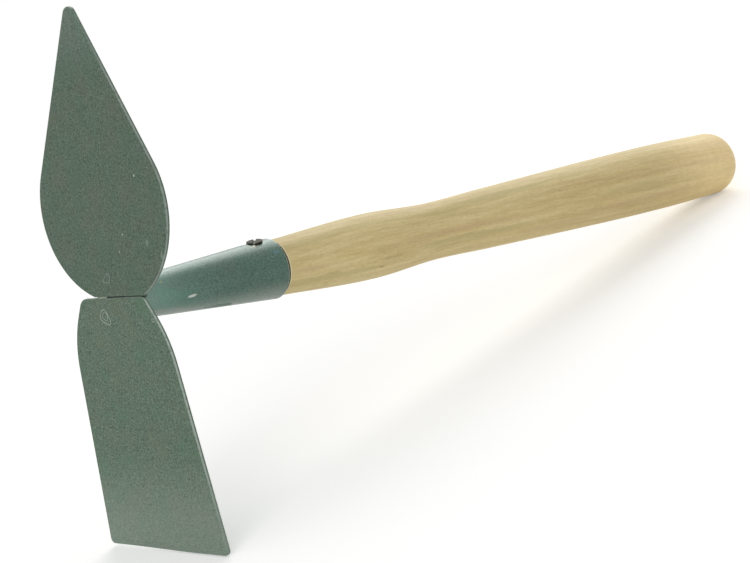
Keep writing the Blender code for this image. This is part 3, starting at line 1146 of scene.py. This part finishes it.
@dataclass
class HoeBlade(Blade):
    """The hoe blade, whose sides flare quickly from its top to the knee, then slowly to its edge."""

    name: str = "hoe_blade_sheet"
    slot: Slot = Slot.HOE
    stands_for: str = "hoe_blade"
    lean: float = math.radians(4.4)
    offset: float = -2.5 * MM
    top_height: float = 0.7 * MM
    height: float = 114.0 * MM
    top_width: float = 45.3 * MM
    top_corner: float = 6.6 * MM
    right_top: float = 23.6 * MM
    right_top_corner: float = 4.5 * MM
    knee_width: float = 70.5 * MM
    knee_drop: float = 19.1 * MM
    knee_radius: float = 50.0 * MM
    right_knee: float = 34.8 * MM
    edge_width: float = 86.6 * MM
    edge_corner: float = 2.6 * MM
    # The cutting edge rises by its slant over a span of x, which fades out a reach above it.
    edge_slant: float = 0.9 * MM
    slant_span: Sequence[float] = (26.0 * MM, -39.0 * MM)
    slant_reach: float = 20.0 * MM
    lines: Rows = (
        (
            "hoe_paint_ring", 0.22 * MM,
            (
                (-6.3, -5.0), (-8.8, -5.9), (-10.4, -7.8), (-10.2, -9.4),
                (-8.0, -10.9), (-4.9, -11.7), (-3.7, -10.9), (-4.1, -8.6),
            ),
        ),
        (
            "hoe_paint_inner_ring", 0.15 * MM,
            ((-5.9, -6.2), (-8.2, -7.0), (-8.9, -8.4), (-6.6, -9.9), (-5.2, -8.6)),
        ),
        ("hoe_paint_dot", 0.20 * MM, ((27.7, -9.6), (26.9, -10.4), (27.7, -11.2), (28.6, -10.4))),
    )

    def outline(self) -> Points:
        """Draws the hoe blade's outline, whose cutting edge is drawn straight and then slanted.

        Returns:
            The points, anticlockwise.
        """
        edge, knee, top = self.edge_width / 2, self.knee_width / 2, self.top_width / 2
        corners = [
            (-edge, -self.height, self.edge_corner),
            (edge, -self.height, self.edge_corner),
            (self.right_knee, -self.knee_drop, self.knee_radius),
            (self.right_top, 0, self.right_top_corner),
            (-top, 0, self.top_corner),
            (-knee, -self.knee_drop, self.knee_radius),
        ]
        first, last = self.slant_span
        points = []
        for x, z in evened(filleted(corners), self.longest_side):
            along = min(1.0, max(0.0, (x - first) / (last - first)))
            near = max(0.0, 1 - (z + self.height) / self.slant_reach)
            points.append((x, z + self.edge_slant * along * along * (3 - 2 * along) * near))
        return points


@dataclass
class Socket:
    """The tapered socket, rolled from sheet and trimmed to the backs of both blades."""

    shop: Workshop
    paint: FlakeEnamel
    leaf: LeafBlade
    hoe: HoeBlade
    axis_drop: float = 1.6 * MM
    mouth_y: float = TurnedWood.mouth_y
    mouth_radius: float = 13.95 * MM
    end_radius: float = 8.2 * MM
    wall: float = 1.5 * MM
    lip: float = 0.5 * MM
    lip_steps: int = 5
    slit: float = 0.8 * MM
    slit_round: float = 0.25 * MM
    slit_support: float = 0.12
    turns: int = 168
    lengths: int = 96
    inner_lengths: int = 24
    hole_to_mouth: float = 7.9 * MM
    hole_radius: float = 4.1 * MM
    hole_shank_radius: float = 2.2 * MM
    hole_cone_start: float = 0.62 * MM
    # The hole's edge is broken by this much outwards and upwards, and its cutter reaches this far.
    hole_bevel: Sequence[float] = (0.25 * MM, 0.32 * MM)
    cutter_reach: float = 3.0 * MM
    cutter_depth: float = 6.0 * MM
    # The paint is thin this far round the hole, and this thin.
    hole_ring: float = 0.5 * MM
    hole_wear: float = 0.3
    dimple_radius: float = 8.0 * MM
    dimple_depth: float = 0.25 * MM
    screw_turn: float = math.radians(7)
    screw_tilt: float = math.radians(6.5)
    screw_rise: float = 0.6 * MM
    tack_start: float = 43 * MM
    tack_end: float = 58.6 * MM
    tack_growth: float = 9 * MM
    tack_turn: float = math.radians(-66)
    tack_sunk: float = 0.55 * MM
    tack_rise: float = 0.40 * MM
    tack_points: int = 30
    # A chip, two dots, a bluish patch, a worn strip by the screw and a pale streak underneath, a painted
    # reflection of the floor: y in millimetres, degrees round the socket, climb, half length and half
    # width, colour and strength.
    spots: Rows = (
        (34.2, -17.8, 0.1, 2.6, 0.65, "#C9CDC6", 0.95),
        (27.1, 61.5, 0.1, 0.55, 0.5, "#22322C", 0.9),
        (20.2, 35.3, 0.1, 0.6, 0.5, "#9DA777", 0.9),
        (83.0, 35.2, 0.1, 1.5, 0.9, "#5B7C8C", 0.5),
        (75.4, 65.0, 0.1, 3.2, 0.8, "#86876E", 0.8),
        # Painted reflection of the floor, as a pale streak underneath.
        (21.0, -57.0, -0.06, 15.0, 2.6, "#A8A29C", 0.34),
    )
    finish: Material = field(init=False)

    def __post_init__(self) -> None:
        """Makes the socket's own material, with its spots."""
        marks = [
            Mark(
                self.on_skin(y * MM, math.radians(turned), self.radius(y * MM)), Vector((0, 1, climb)),
                long * MM, wide * MM, *look,
            )
            for y, turned, climb, long, wide, *look in self.spots
        ]
        self.finish = self.paint.material(self.shop.tool, marks)

    def radius(self, y: float) -> float:
        """Gives the outer radius at y."""
        return self.end_radius + (self.mouth_radius - self.end_radius) * y / self.mouth_y

    def on_skin(self, y: float, angle: float, radius: float) -> Vector:
        """Gives the point at y, at an angle round the socket and a radius from its axis."""
        return Vector((radius * math.cos(angle), y, radius * math.sin(angle) - self.axis_drop))

    def screw_place(self) -> Matrix:
        """Finds the place of the screw, with Y along it and out of the socket.

        Returns:
            The matrix from that place to the frame of the tool.
        """
        y = self.mouth_y - self.hole_to_mouth
        axis = Matrix.Translation((0, 0, -self.axis_drop)) @ Matrix.Rotation(self.screw_turn, 4, "Y")
        top = axis @ Matrix.Translation((0, y, self.radius(y) + self.screw_rise))
        return top @ Matrix.Rotation(math.radians(90) + self.screw_tilt, 4, "X")

    def start(self, angle: float) -> float:
        """Gives the y at which the socket meets the back of a blade.

        Args:
            angle: the angle round the socket.

        Returns:
            The y.
        """
        z = self.end_radius * math.sin(angle) - self.axis_drop
        blade = self.leaf if z > (self.leaf.base_height + self.hoe.top_height) / 2 else self.hoe
        return blade.thickness / math.cos(blade.lean) - z * math.tan(blade.lean)

    def section(self, angle: float, pinch: float) -> list[tuple[float, float]]:
        """Draws the wall's section at an angle.

        Args:
            angle: the angle round the socket.
            pinch: how far its faces are drawn in, as at the rounded edge of the sheet.

        Returns:
            The (radius, y) points round the section.
        """
        start, end = self.start(angle), self.mouth_y
        outer = [(self.radius(y) - pinch, y) for y in np.linspace(start, end - self.lip, self.lengths)]
        for i in range(1, self.lip_steps + 1):
            a = i / self.lip_steps * math.pi / 2
            radius = self.radius(end) - pinch - self.lip * (1 - math.cos(a))
            outer.append((radius, end - self.lip * (1 - math.sin(a))))
        inner = np.linspace(end, start, self.inner_lengths)
        return outer + [(self.radius(y) - self.wall + pinch, y) for y in inner]

    def dimpled(self, point: Vector) -> Vector:
        """Pushes a point of the sheet in where the hole was punched.

        Args:
            point: a point, measured from the socket's axis.

        Returns:
            The moved point.
        """
        y = self.mouth_y - self.hole_to_mouth
        near = max(0.0, 1 - math.dist(point, (0, y, self.radius(y))) / self.dimple_radius)
        return point + Vector((0, 0, -self.dimple_depth * near * near * (3 - 2 * near)))

    def cutter(self) -> Object:
        """Turns the cutter of the countersunk hole, a cone of 45 degrees in line with the screw.

        Returns:
            The cutter, in the frame of the tool.
        """
        cone, shank, wide = -self.hole_cone_start, self.hole_shank_radius, self.hole_radius
        profile = [
            (shank, -self.cutter_depth),
            (shank, cone - wide + shank),
            (wide, cone),
            (wide + self.hole_bevel[0], cone + self.hole_bevel[1]),
            (wide + self.cutter_reach, self.cutter_reach),
        ]
        rings = [[(r * math.cos(a), y, r * math.sin(a)) for a in ROUND] for r, y in profile]
        made = new_object("hole_cutter", *loft(rings))
        finish_mesh(made.data, self.screw_place())
        return made

    def build(self) -> None:
        """Builds the socket and cuts its countersunk hole, round which the paint is thin."""
        half_slit = self.slit / (self.end_radius + self.mouth_radius)
        turns = list(np.linspace(-math.pi / 2 + half_slit, 1.5 * math.pi - half_slit, self.turns + 1))
        edge = (turns[1] - turns[0]) * self.slit_support
        turns = [turns[0], turns[0] + edge] + turns[1:-1] + [turns[-1] - edge, turns[-1]]
        rings, wear = [], []
        for angle in turns:
            at_edge = angle in (turns[0], turns[-1])
            section = self.section(angle, self.slit_round if at_edge else 0.0)
            rings.append([(r * math.cos(angle), y, r * math.sin(angle)) for r, y in section])
            for r, y in section:
                on_lip = y > self.mouth_y - self.lip * 0.9 and r > self.radius(y) - self.lip
                wear.append(1.0 if at_edge or on_lip else 0.0)
        points, faces = loft(rings)
        made = new_object("socket_tube", [self.dimpled(Vector(p)) for p in points], faces)
        store(made, "rim", wear)
        finish_mesh(made.data, Matrix.Translation((0, 0, -self.axis_drop)))
        carve(made, self.cutter(), self.finish, self.shop.tool)
        heal_cut(made.data)
        hole = (self.shop.tool @ self.screw_place()).inverted()
        for vertex, rim in zip(made.data.vertices, made.data.attributes["rim"].data):
            x, y, z = hole @ vertex.co
            if math.hypot(x, z) < self.hole_radius + self.hole_ring and abs(y) < self.cutter_reach:
                rim.value = self.hole_wear
        add_piece(made, Slot.SOCKET, "socket")

    def build_seam_tack(self) -> None:
        """Builds the short raised bead under the socket that ends abruptly towards the mouth."""
        path = []
        for y in np.linspace(self.tack_start, self.tack_end, self.tack_points):
            grow = min(1.0, (y - self.tack_start) / self.tack_growth)
            radius = self.radius(y) - self.tack_sunk + self.tack_rise * grow
            path.append(self.on_skin(y, self.tack_turn, radius))
        self.shop.lay_bead(
            "socket_seam_tack", path, Slot.SOCKET, finish=self.finish, radius=0.75 * MM, sides=14,
            step=0.3 * MM, ripple_pitch=2.2 * MM, ripple_depth=0.10, lump_size=2 * MM,
            lump_height=0.2 * MM, taper=0.04,
        )


@dataclass
class Welds:
    """The fillet welds round the socket's end, on the back of each blade, and the tacks along the joint."""

    shop: Workshop
    finish: Material
    socket: Socket
    leg: float = 2.8 * MM
    sunk: float = 0.30
    bead_radius: float = 1.75 * MM
    bead_points: int = 90
    ripple: float = 1.9 * MM
    leaf_gap: float = 0.9 * MM
    hoe_gap: float = 1.3 * MM
    # The burr that bridges the blades' joint in front: where it starts, and its length.
    burr_start: Sequence[float] = (-12.8 * MM, 0.5 * MM, 0.95 * MM)
    burr_length: float = 7.6 * MM
    burr_wear: float = 0.7
    burr_points: int = 12
    # The thin runs of weld over the joint, behind the blades: name, first x and last x.
    runs: Rows = (
        ("joint_tack_right", 8.4 * MM, 21.4 * MM), ("joint_tack_left", -12.6 * MM, -8.4 * MM),
    )
    run_radius: float = 1.1 * MM
    run_back: float = 2.5 * MM
    run_height: float = 0.95 * MM
    run_points: int = 40

    def path(self, blade: Blade, start: float, end: float) -> list[Vector]:
        """Draws the middle line of a bead in the corner between the socket and a blade.

        Args:
            blade: the blade.
            start: the bead's first angle round the socket.
            end: its last angle.

        Returns:
            The points, in the frame of the tool.
        """
        depth = self.leg * self.sunk
        radius = self.socket.radius(blade.thickness) + depth
        angles = np.linspace(start, end, self.bead_points)
        points = [self.socket.on_skin(depth, angle, radius) for angle in angles]
        for point in points:
            point.y += blade.thickness / math.cos(blade.lean) - point.z * math.tan(blade.lean)
        return points

    def build(self) -> None:
        """Builds both welds, the burr in the joint and the runs behind it."""
        socket = self.socket
        radius = socket.radius(socket.leaf.thickness)
        rise = math.asin((socket.leaf.base_height + socket.axis_drop + self.leaf_gap) / radius)
        fall = math.asin((socket.axis_drop - self.hoe_gap) / radius)
        for name, blade, start, end, slot, node in (
            ("leaf_weld_bead", socket.leaf, rise, math.pi - rise, Slot.LEAF_WELD, "leaf_weld"),
            ("hoe_weld_bead", socket.hoe, -math.pi - fall, fall, Slot.HOE_WELD, "hoe_weld"),
        ):
            self.shop.lay_bead(
                name, self.path(blade, start, end), slot, node, finish=self.finish, radius=self.bead_radius,
                sides=20, step=0.15 * MM, ripple_pitch=self.ripple, ripple_depth=0.13, lump_size=4 * MM,
                lump_height=0.35 * MM, taper=0.05,
            )
        x, y, z = self.burr_start
        shares = np.linspace(0, 1, self.burr_points)
        self.shop.lay_bead(
            "joint_tack_burr", [(x + self.burr_length * t, y, z) for t in shares], Slot.HOE_WELD,
            wear=self.burr_wear, finish=self.finish, radius=0.5 * MM, sides=14, step=0.12 * MM,
            ripple_pitch=2.6 * MM, ripple_depth=0.25, lump_size=0.9 * MM, lump_height=0.3 * MM, taper=0.2,
        )
        for name, first, last in self.runs:
            along = np.linspace(first, last, self.run_points)
            self.shop.lay_bead(
                name, [(x, self.run_back, self.run_height) for x in along], Slot.HOE_WELD,
                finish=self.finish, radius=self.run_radius, sides=20, step=0.2 * MM, taper=0.12,
                ripple_pitch=self.ripple, ripple_depth=0.3, lump_size=1.4 * MM, lump_height=0.2 * MM,
            )


@dataclass
class Handle:
    """The turned handle: a tenon in the socket, then neck, swell, waist, grip, palm and butt."""

    shop: Workshop
    wood: TurnedWood
    socket: Socket
    tenon_start: float = 14.0 * MM
    tenon_play: float = 0.2 * MM
    tenon_end: float = 0.7 * MM
    tenon_points: int = 8
    # The tenon is closed by a point this far before its end, since y has to grow along the profile.
    pole_gap: float = 0.01 * MM
    # Neck, swell, waist, grip, palm and butt: the length from the one before, and the radius.
    sections: Rows = (
        (0.6 * MM, 12.7 * MM), (60.0 * MM, 15.46 * MM), (40.0 * MM, 13.75 * MM), (36.0 * MM, 14.75 * MM),
        (128.0 * MM, 17.1 * MM), (42.0 * MM, 16.45 * MM),
    )
    corner_length: float = 10.5 * MM
    corner_depth: float = 8.5 * MM
    dome: float = 2.5 * MM
    groove_depth: float = 0.45 * MM
    groove_length: float = TurnedWood.groove_length
    shoulder: float = 0.1 * MM
    rise_angle: float = math.radians(1.05)
    bend_length: float = 100.0 * MM
    sides: int = 128
    stations: int = 240
    corner_steps: int = 25
    dome_steps: int = 10
    # The brown spot and two darker streaks: y in millimetres, degrees round the handle, radius, half
    # length and half width in millimetres, colour and strength.
    spots: Rows = (
        (142.6, -37.8, 15.4, 1.6, 0.55, "#8A6A3E", 0.55),
        (113.3, -29.0, 14.0, 5.5, 0.6, "#9A8758", 0.38),
        (148.5, -23.0, 15.4, 7.0, 0.6, "#A18E5E", 0.35),
    )

    def rise(self, y: float) -> float:
        """Gives how far the handle's middle has risen above the line of the socket at y."""
        past = max(0.0, y - self.socket.mouth_y)
        return math.tan(self.rise_angle) * past * past / (past + self.bend_length)

    def marks(self) -> list[Mark]:
        """Places the spots in the wood.

        Returns:
            The spots, in the frame of the tool.
        """
        found = []
        for y, turned, radius, long, wide, *look in self.spots:
            centre = self.socket.on_skin(y * MM, math.radians(turned), radius * MM)
            centre.z += self.rise(y * MM)
            found.append(Mark(centre, Vector((0, 1, 0)), long * MM, wide * MM, *look))
        return found

    def profile(self) -> list[tuple[float, float]]:
        """Draws the handle's profile.

        Returns:
            The (radius, y) points, from the end of the tenon to the end of the butt.
        """
        mouth = self.socket.mouth_y
        clear = self.socket.wall + self.tenon_play
        tenon = np.linspace(self.tenon_start, mouth - self.tenon_end, self.tenon_points)
        profile = [(0.0, self.tenon_start - self.pole_gap)]
        profile += [(self.socket.radius(y) - clear, y) for y in tenon]
        lengths, radii = zip(*self.sections)
        ends = mouth + np.cumsum(lengths)
        along = np.linspace(ends[0], ends[-1], self.stations)
        profile += list(zip(smooth_curve(list(zip(ends, radii)), along), along))
        # A shallow groove by the mouth, and the shoulder that it ends in.
        floor, last = radii[0] - self.groove_depth, mouth + self.groove_length
        profile += [(floor, mouth), (floor, last - self.shoulder)]
        profile.sort(key=lambda point: point[1])
        profile = [(r - self.groove_depth if mouth < y < last and r > floor else r, y) for r, y in profile]
        for a in np.linspace(0, math.pi / 2, self.corner_steps + 1)[1:]:
            radius = radii[-1] - self.corner_depth * (1 - math.cos(a))
            profile.append((radius, ends[-1] + self.corner_length * math.sin(a)))
        rim, rim_y = profile[-1]
        shares = [i / self.dome_steps for i in reversed(range(self.dome_steps))]
        return profile + [(rim * t, rim_y + self.dome * (1 - t * t)) for t in shares]

    def build(self) -> None:
        """Turns the handle."""
        made = self.shop.turn(
            "handle_turned", self.profile(), Matrix.Translation((0, 0, -self.socket.axis_drop)), self.rise,
            finish=self.wood.material(self.shop.tool, self.marks()), sides=self.sides,
            ring_pitch=2.5 * MM, ring_depth=0.06 * MM,
        )
        add_piece(made, Slot.WOOD, "handle")


@dataclass
class Screw:
    """The countersunk screw through the top of the socket, driven in slightly askew."""

    shop: Workshop
    finish: Material
    socket: Socket
    head_radius: float = 3.8 * MM
    head_rim: float = 0.5 * MM
    head_edge: float = 0.18 * MM
    edge_shoulder: float = 0.4
    head_dome: float = 0.25 * MM
    # Where the profile has points: the angles round the head's edge, and the shares of the dome's radius.
    edge_angles: Sequence[float] = (0, 0.5, 1.0, 1.4)
    dome_shares: Sequence[float] = (0.85, 0.65, 0.45, 0.2, 0.0)
    head_wear: float = 0.93
    shank_radius: float = 1.9 * MM
    length: float = 18.0 * MM
    point: float = 4.0 * MM
    slot_width: float = 1.1 * MM
    slot_depth: float = 0.8 * MM
    slot_reach: float = 1.3
    slot_turn: float = math.radians(42)
    sides: int = 64

    def profile(self) -> list[tuple[float, float]]:
        """Draws the screw's profile.

        Returns:
            The (radius, y) points, from its point to the top of its head.
        """
        head, shank, edge, rim = self.head_radius, self.shank_radius, self.head_edge, -self.head_rim
        profile = [(0.0, -self.length), (shank * 0.5, -self.length + self.point * 0.5)]
        profile += [(shank, -self.length + self.point), (shank, rim - head + shank)]
        profile += [(head - edge * self.edge_shoulder, rim), (head, rim + edge)]
        for a in self.edge_angles:
            profile.append((head - edge * (1 - math.cos(a)), edge * (math.sin(a) - self.edge_shoulder)))
        top, top_y = profile[-1]
        rise = self.head_dome - top_y
        return profile + [(top * t, top_y + rise * (1 - t * t)) for t in self.dome_shares]

    def build(self) -> None:
        """Turns the screw and cuts the slot of its drive."""
        place = self.socket.screw_place()
        made = self.shop.turn(
            "fixing_screw_head", self.profile(), place, finish=self.finish, sides=self.sides
        )
        carve(made, self.slot_cutter(place @ Matrix.Rotation(-self.slot_turn, 4, "Y")), self.finish)
        turned = (self.shop.tool @ place).inverted()
        local = [turned @ v.co for v in made.data.vertices]
        worn = self.head_radius * self.head_wear
        store(made, "rim", [1.0 if math.hypot(p.x, p.z) > worn else 0.0 for p in local])
        add_piece(made, Slot.STEEL, "fixing_screw")

    def slot_cutter(self, place: Matrix) -> Object:
        """Makes the block that cuts the slot of the drive, a little wider at its mouth.

        Args:
            place: the matrix from the head's own frame to the tool's.

        Returns:
            The cutter, in the row's frame.
        """
        long, dome = self.head_radius * self.slot_reach, self.head_dome
        floor = dome - self.slot_depth
        rings = []
        # Half the cutter's width at each height, as a share of the slot's width.
        for share, y in ((0.42, floor), (0.5, floor + 0.1 * MM), (0.5, 0.0), (0.62, dome), (0.9, dome * 3)):
            wide = self.slot_width * share
            rings.append([(-long, y, -wide), (long, y, -wide), (long, y, wide), (-long, y, wide)])
        made = new_object("drive_cutter", *loft(rings))
        finish_mesh(made.data, self.shop.tool @ place)
        return made


@dataclass(frozen=True)
class PhotoCamera:
    """The camera, at the photograph's place. Angles are about the blades' joint, in the tool's frame."""

    azimuth: float = math.radians(55.8026)
    elevation: float = math.radians(4.6780)
    roll: float = math.radians(-9.2863)
    distance: float = 0.99331
    focal_px: float = 2302.4
    joint_px: Sequence[float] = (113.675, 299.593)
    image_px: tuple[int, int] = (750, 563)
    sensor_mm: float = 36.0

    def build(self, tool: Matrix) -> None:
        """Creates the camera and makes it the scene's.

        Args:
            tool: the matrix of the tool.
        """
        across, down = self.image_px
        flat, high = math.cos(self.elevation), math.sin(self.elevation)
        back = Vector((math.sin(self.azimuth) * flat, -math.cos(self.azimuth) * flat, high))
        right = Vector((0, 0, 1)).cross(back).normalized()
        facing = Matrix((right, back.cross(right), back)).transposed() @ Matrix.Rotation(self.roll, 3, "Z")
        x, y = self.joint_px[0] - across / 2, down / 2 - self.joint_px[1]
        onto = Vector((x, y, -self.focal_px)).rotation_difference(Vector((0, 0, -1))).to_matrix()
        data = bpy.data.cameras.new("photo_camera")
        data.sensor_fit = "HORIZONTAL"
        data.sensor_width = self.sensor_mm
        data.lens = self.focal_px / across * self.sensor_mm
        data.clip_start = 0.01
        camera = bpy.data.objects.new("photo_camera", data)
        bpy.context.scene.collection.objects.link(camera)
        camera.matrix_world = tool @ Matrix.Translation(back * self.distance) @ (facing @ onto).to_4x4()
        bpy.context.scene.camera = camera


@dataclass(frozen=True)
class Studio:
    """The floor, the white surroundings and the soft lamps."""

    floor_radius: float = 4.0
    floor_height: float = -0.0002
    world_level: float = 0.50
    lamps_aim: Sequence[float] = (0.0, 0.0, 0.1)
    # Each lamp's name, place, size and power.
    lamps: Rows = (
        ("overhead", (-0.8, 1.3, 1.15), 1.6, 17.0),
        ("front", (0.9, -1.5, 0.8), 1.4, 12.0),
    )

    def build(self) -> None:
        """Builds the floor, the world and the lamps."""
        radius, level, count = self.floor_radius, self.floor_height, len(ROUND)
        points = [(0, 0, level)] + [(radius * math.cos(a), radius * math.sin(a), level) for a in ROUND]
        floor = new_object("floor", points, [(0, i + 1, (i + 1) % count + 1) for i in range(count)])
        floor.data.materials.append(PaperFloor().material())
        self.light_world()
        for name, place, size, power in self.lamps:
            data = bpy.data.lights.new(name, "AREA")
            data.shape = "DISK"
            data.size = size
            data.energy = power
            lamp = bpy.data.objects.new(name, data)
            bpy.context.scene.collection.objects.link(lamp)
            lamp.location = place
            aim = Vector(self.lamps_aim) - Vector(place)
            lamp.rotation_euler = aim.to_track_quat("-Z", "Y").to_euler()

    def light_world(self) -> None:
        """Makes the world white to the camera and in reflections, and a plain soft light to the rest."""
        world = bpy.data.worlds.new("studio")
        bpy.context.scene.world = world
        world.use_nodes = True
        world.node_tree.nodes.clear()
        add = partial(add_node, world.node_tree)
        soft = add("ShaderNodeBackground", {"Color": WHITE, "Strength": self.world_level})
        white = add("ShaderNodeBackground", {"Color": WHITE, "Strength": 1.0})
        mix = add("ShaderNodeMixShader", (seen_directly(add), soft, white))
        add("ShaderNodeOutputWorld", {"Surface": mix})


def main() -> None:
    """Builds the tool's pieces in order, then the studio and the camera."""
    logging.basicConfig(level=logging.INFO, format="%(name)s: %(message)s")
    bpy.context.scene.view_settings.view_transform = "Standard"
    tool = ToolFrame().matrix(frame["record"])
    shop = Workshop(tool, turning_tree(), bead_tree())
    leaf_paint = FlakeEnamel(
        "flake_enamel_leaf", "#1F3222", "#667B6A", "#44654C", "#585E4A", "#8F9892",
        # Painted light: the leaf drawn paler towards its tip.
        painted_light_fades=(("Z", 92 * MM, 120 * MM, "#2F3132"),),
    )
    hoe_paint = FlakeEnamel(
        "flake_enamel_hoe", "#233729", "#6F8772", "#4A6F53", "#5E6A54", "#A6AFA8",
        # Painted light: the hoe blade drawn paler towards its cutting edge, as the floor's bounce would
        # light it.
        painted_light_fades=(("Z", -62 * MM, -112 * MM, "#525352"),),
    )
    socket_paint = FlakeEnamel(
        "flake_enamel_socket", "#264236", "#59796B", "#3A6A58", "#4D6056", "#A5AFA6",
        coat=0.6, coat_roughness=0.30,
        # Painted light: the socket drawn paler towards the blades, and a painted reflection of the floor
        # along its underside.
        painted_light_fades=(
            ("Y", 62 * MM, 12 * MM, "#3E544E"), ("Y", 34 * MM, 8 * MM, "#545E5A"),
            ("Z", -5.5 * MM, -12.5 * MM, "#565250"),
        ),
    )
    weld_paint = FlakeEnamel(
        "flake_enamel_welds", "#2C4033", "#5C6E60", "#3F5447", "#4B5145", "#9CA592",
        peel=1.0 * MM, peel_depth=0.06 * MM,
    )
    leaf = LeafBlade(shop, leaf_paint)
    hoe = HoeBlade(shop, hoe_paint)
    for blade in (leaf, hoe):
        blade.build()
        blade.build_lines()
    socket = Socket(shop, socket_paint, leaf, hoe)
    socket.build()
    socket.build_seam_tack()
    Welds(shop, weld_paint.material(tool), socket).build()
    Handle(shop, TurnedWood(), socket).build()
    Screw(shop, BlackenedSteel().material(), socket).build()
    Studio().build()
    PhotoCamera().build(tool)


if __name__ == "__main__":
    main()
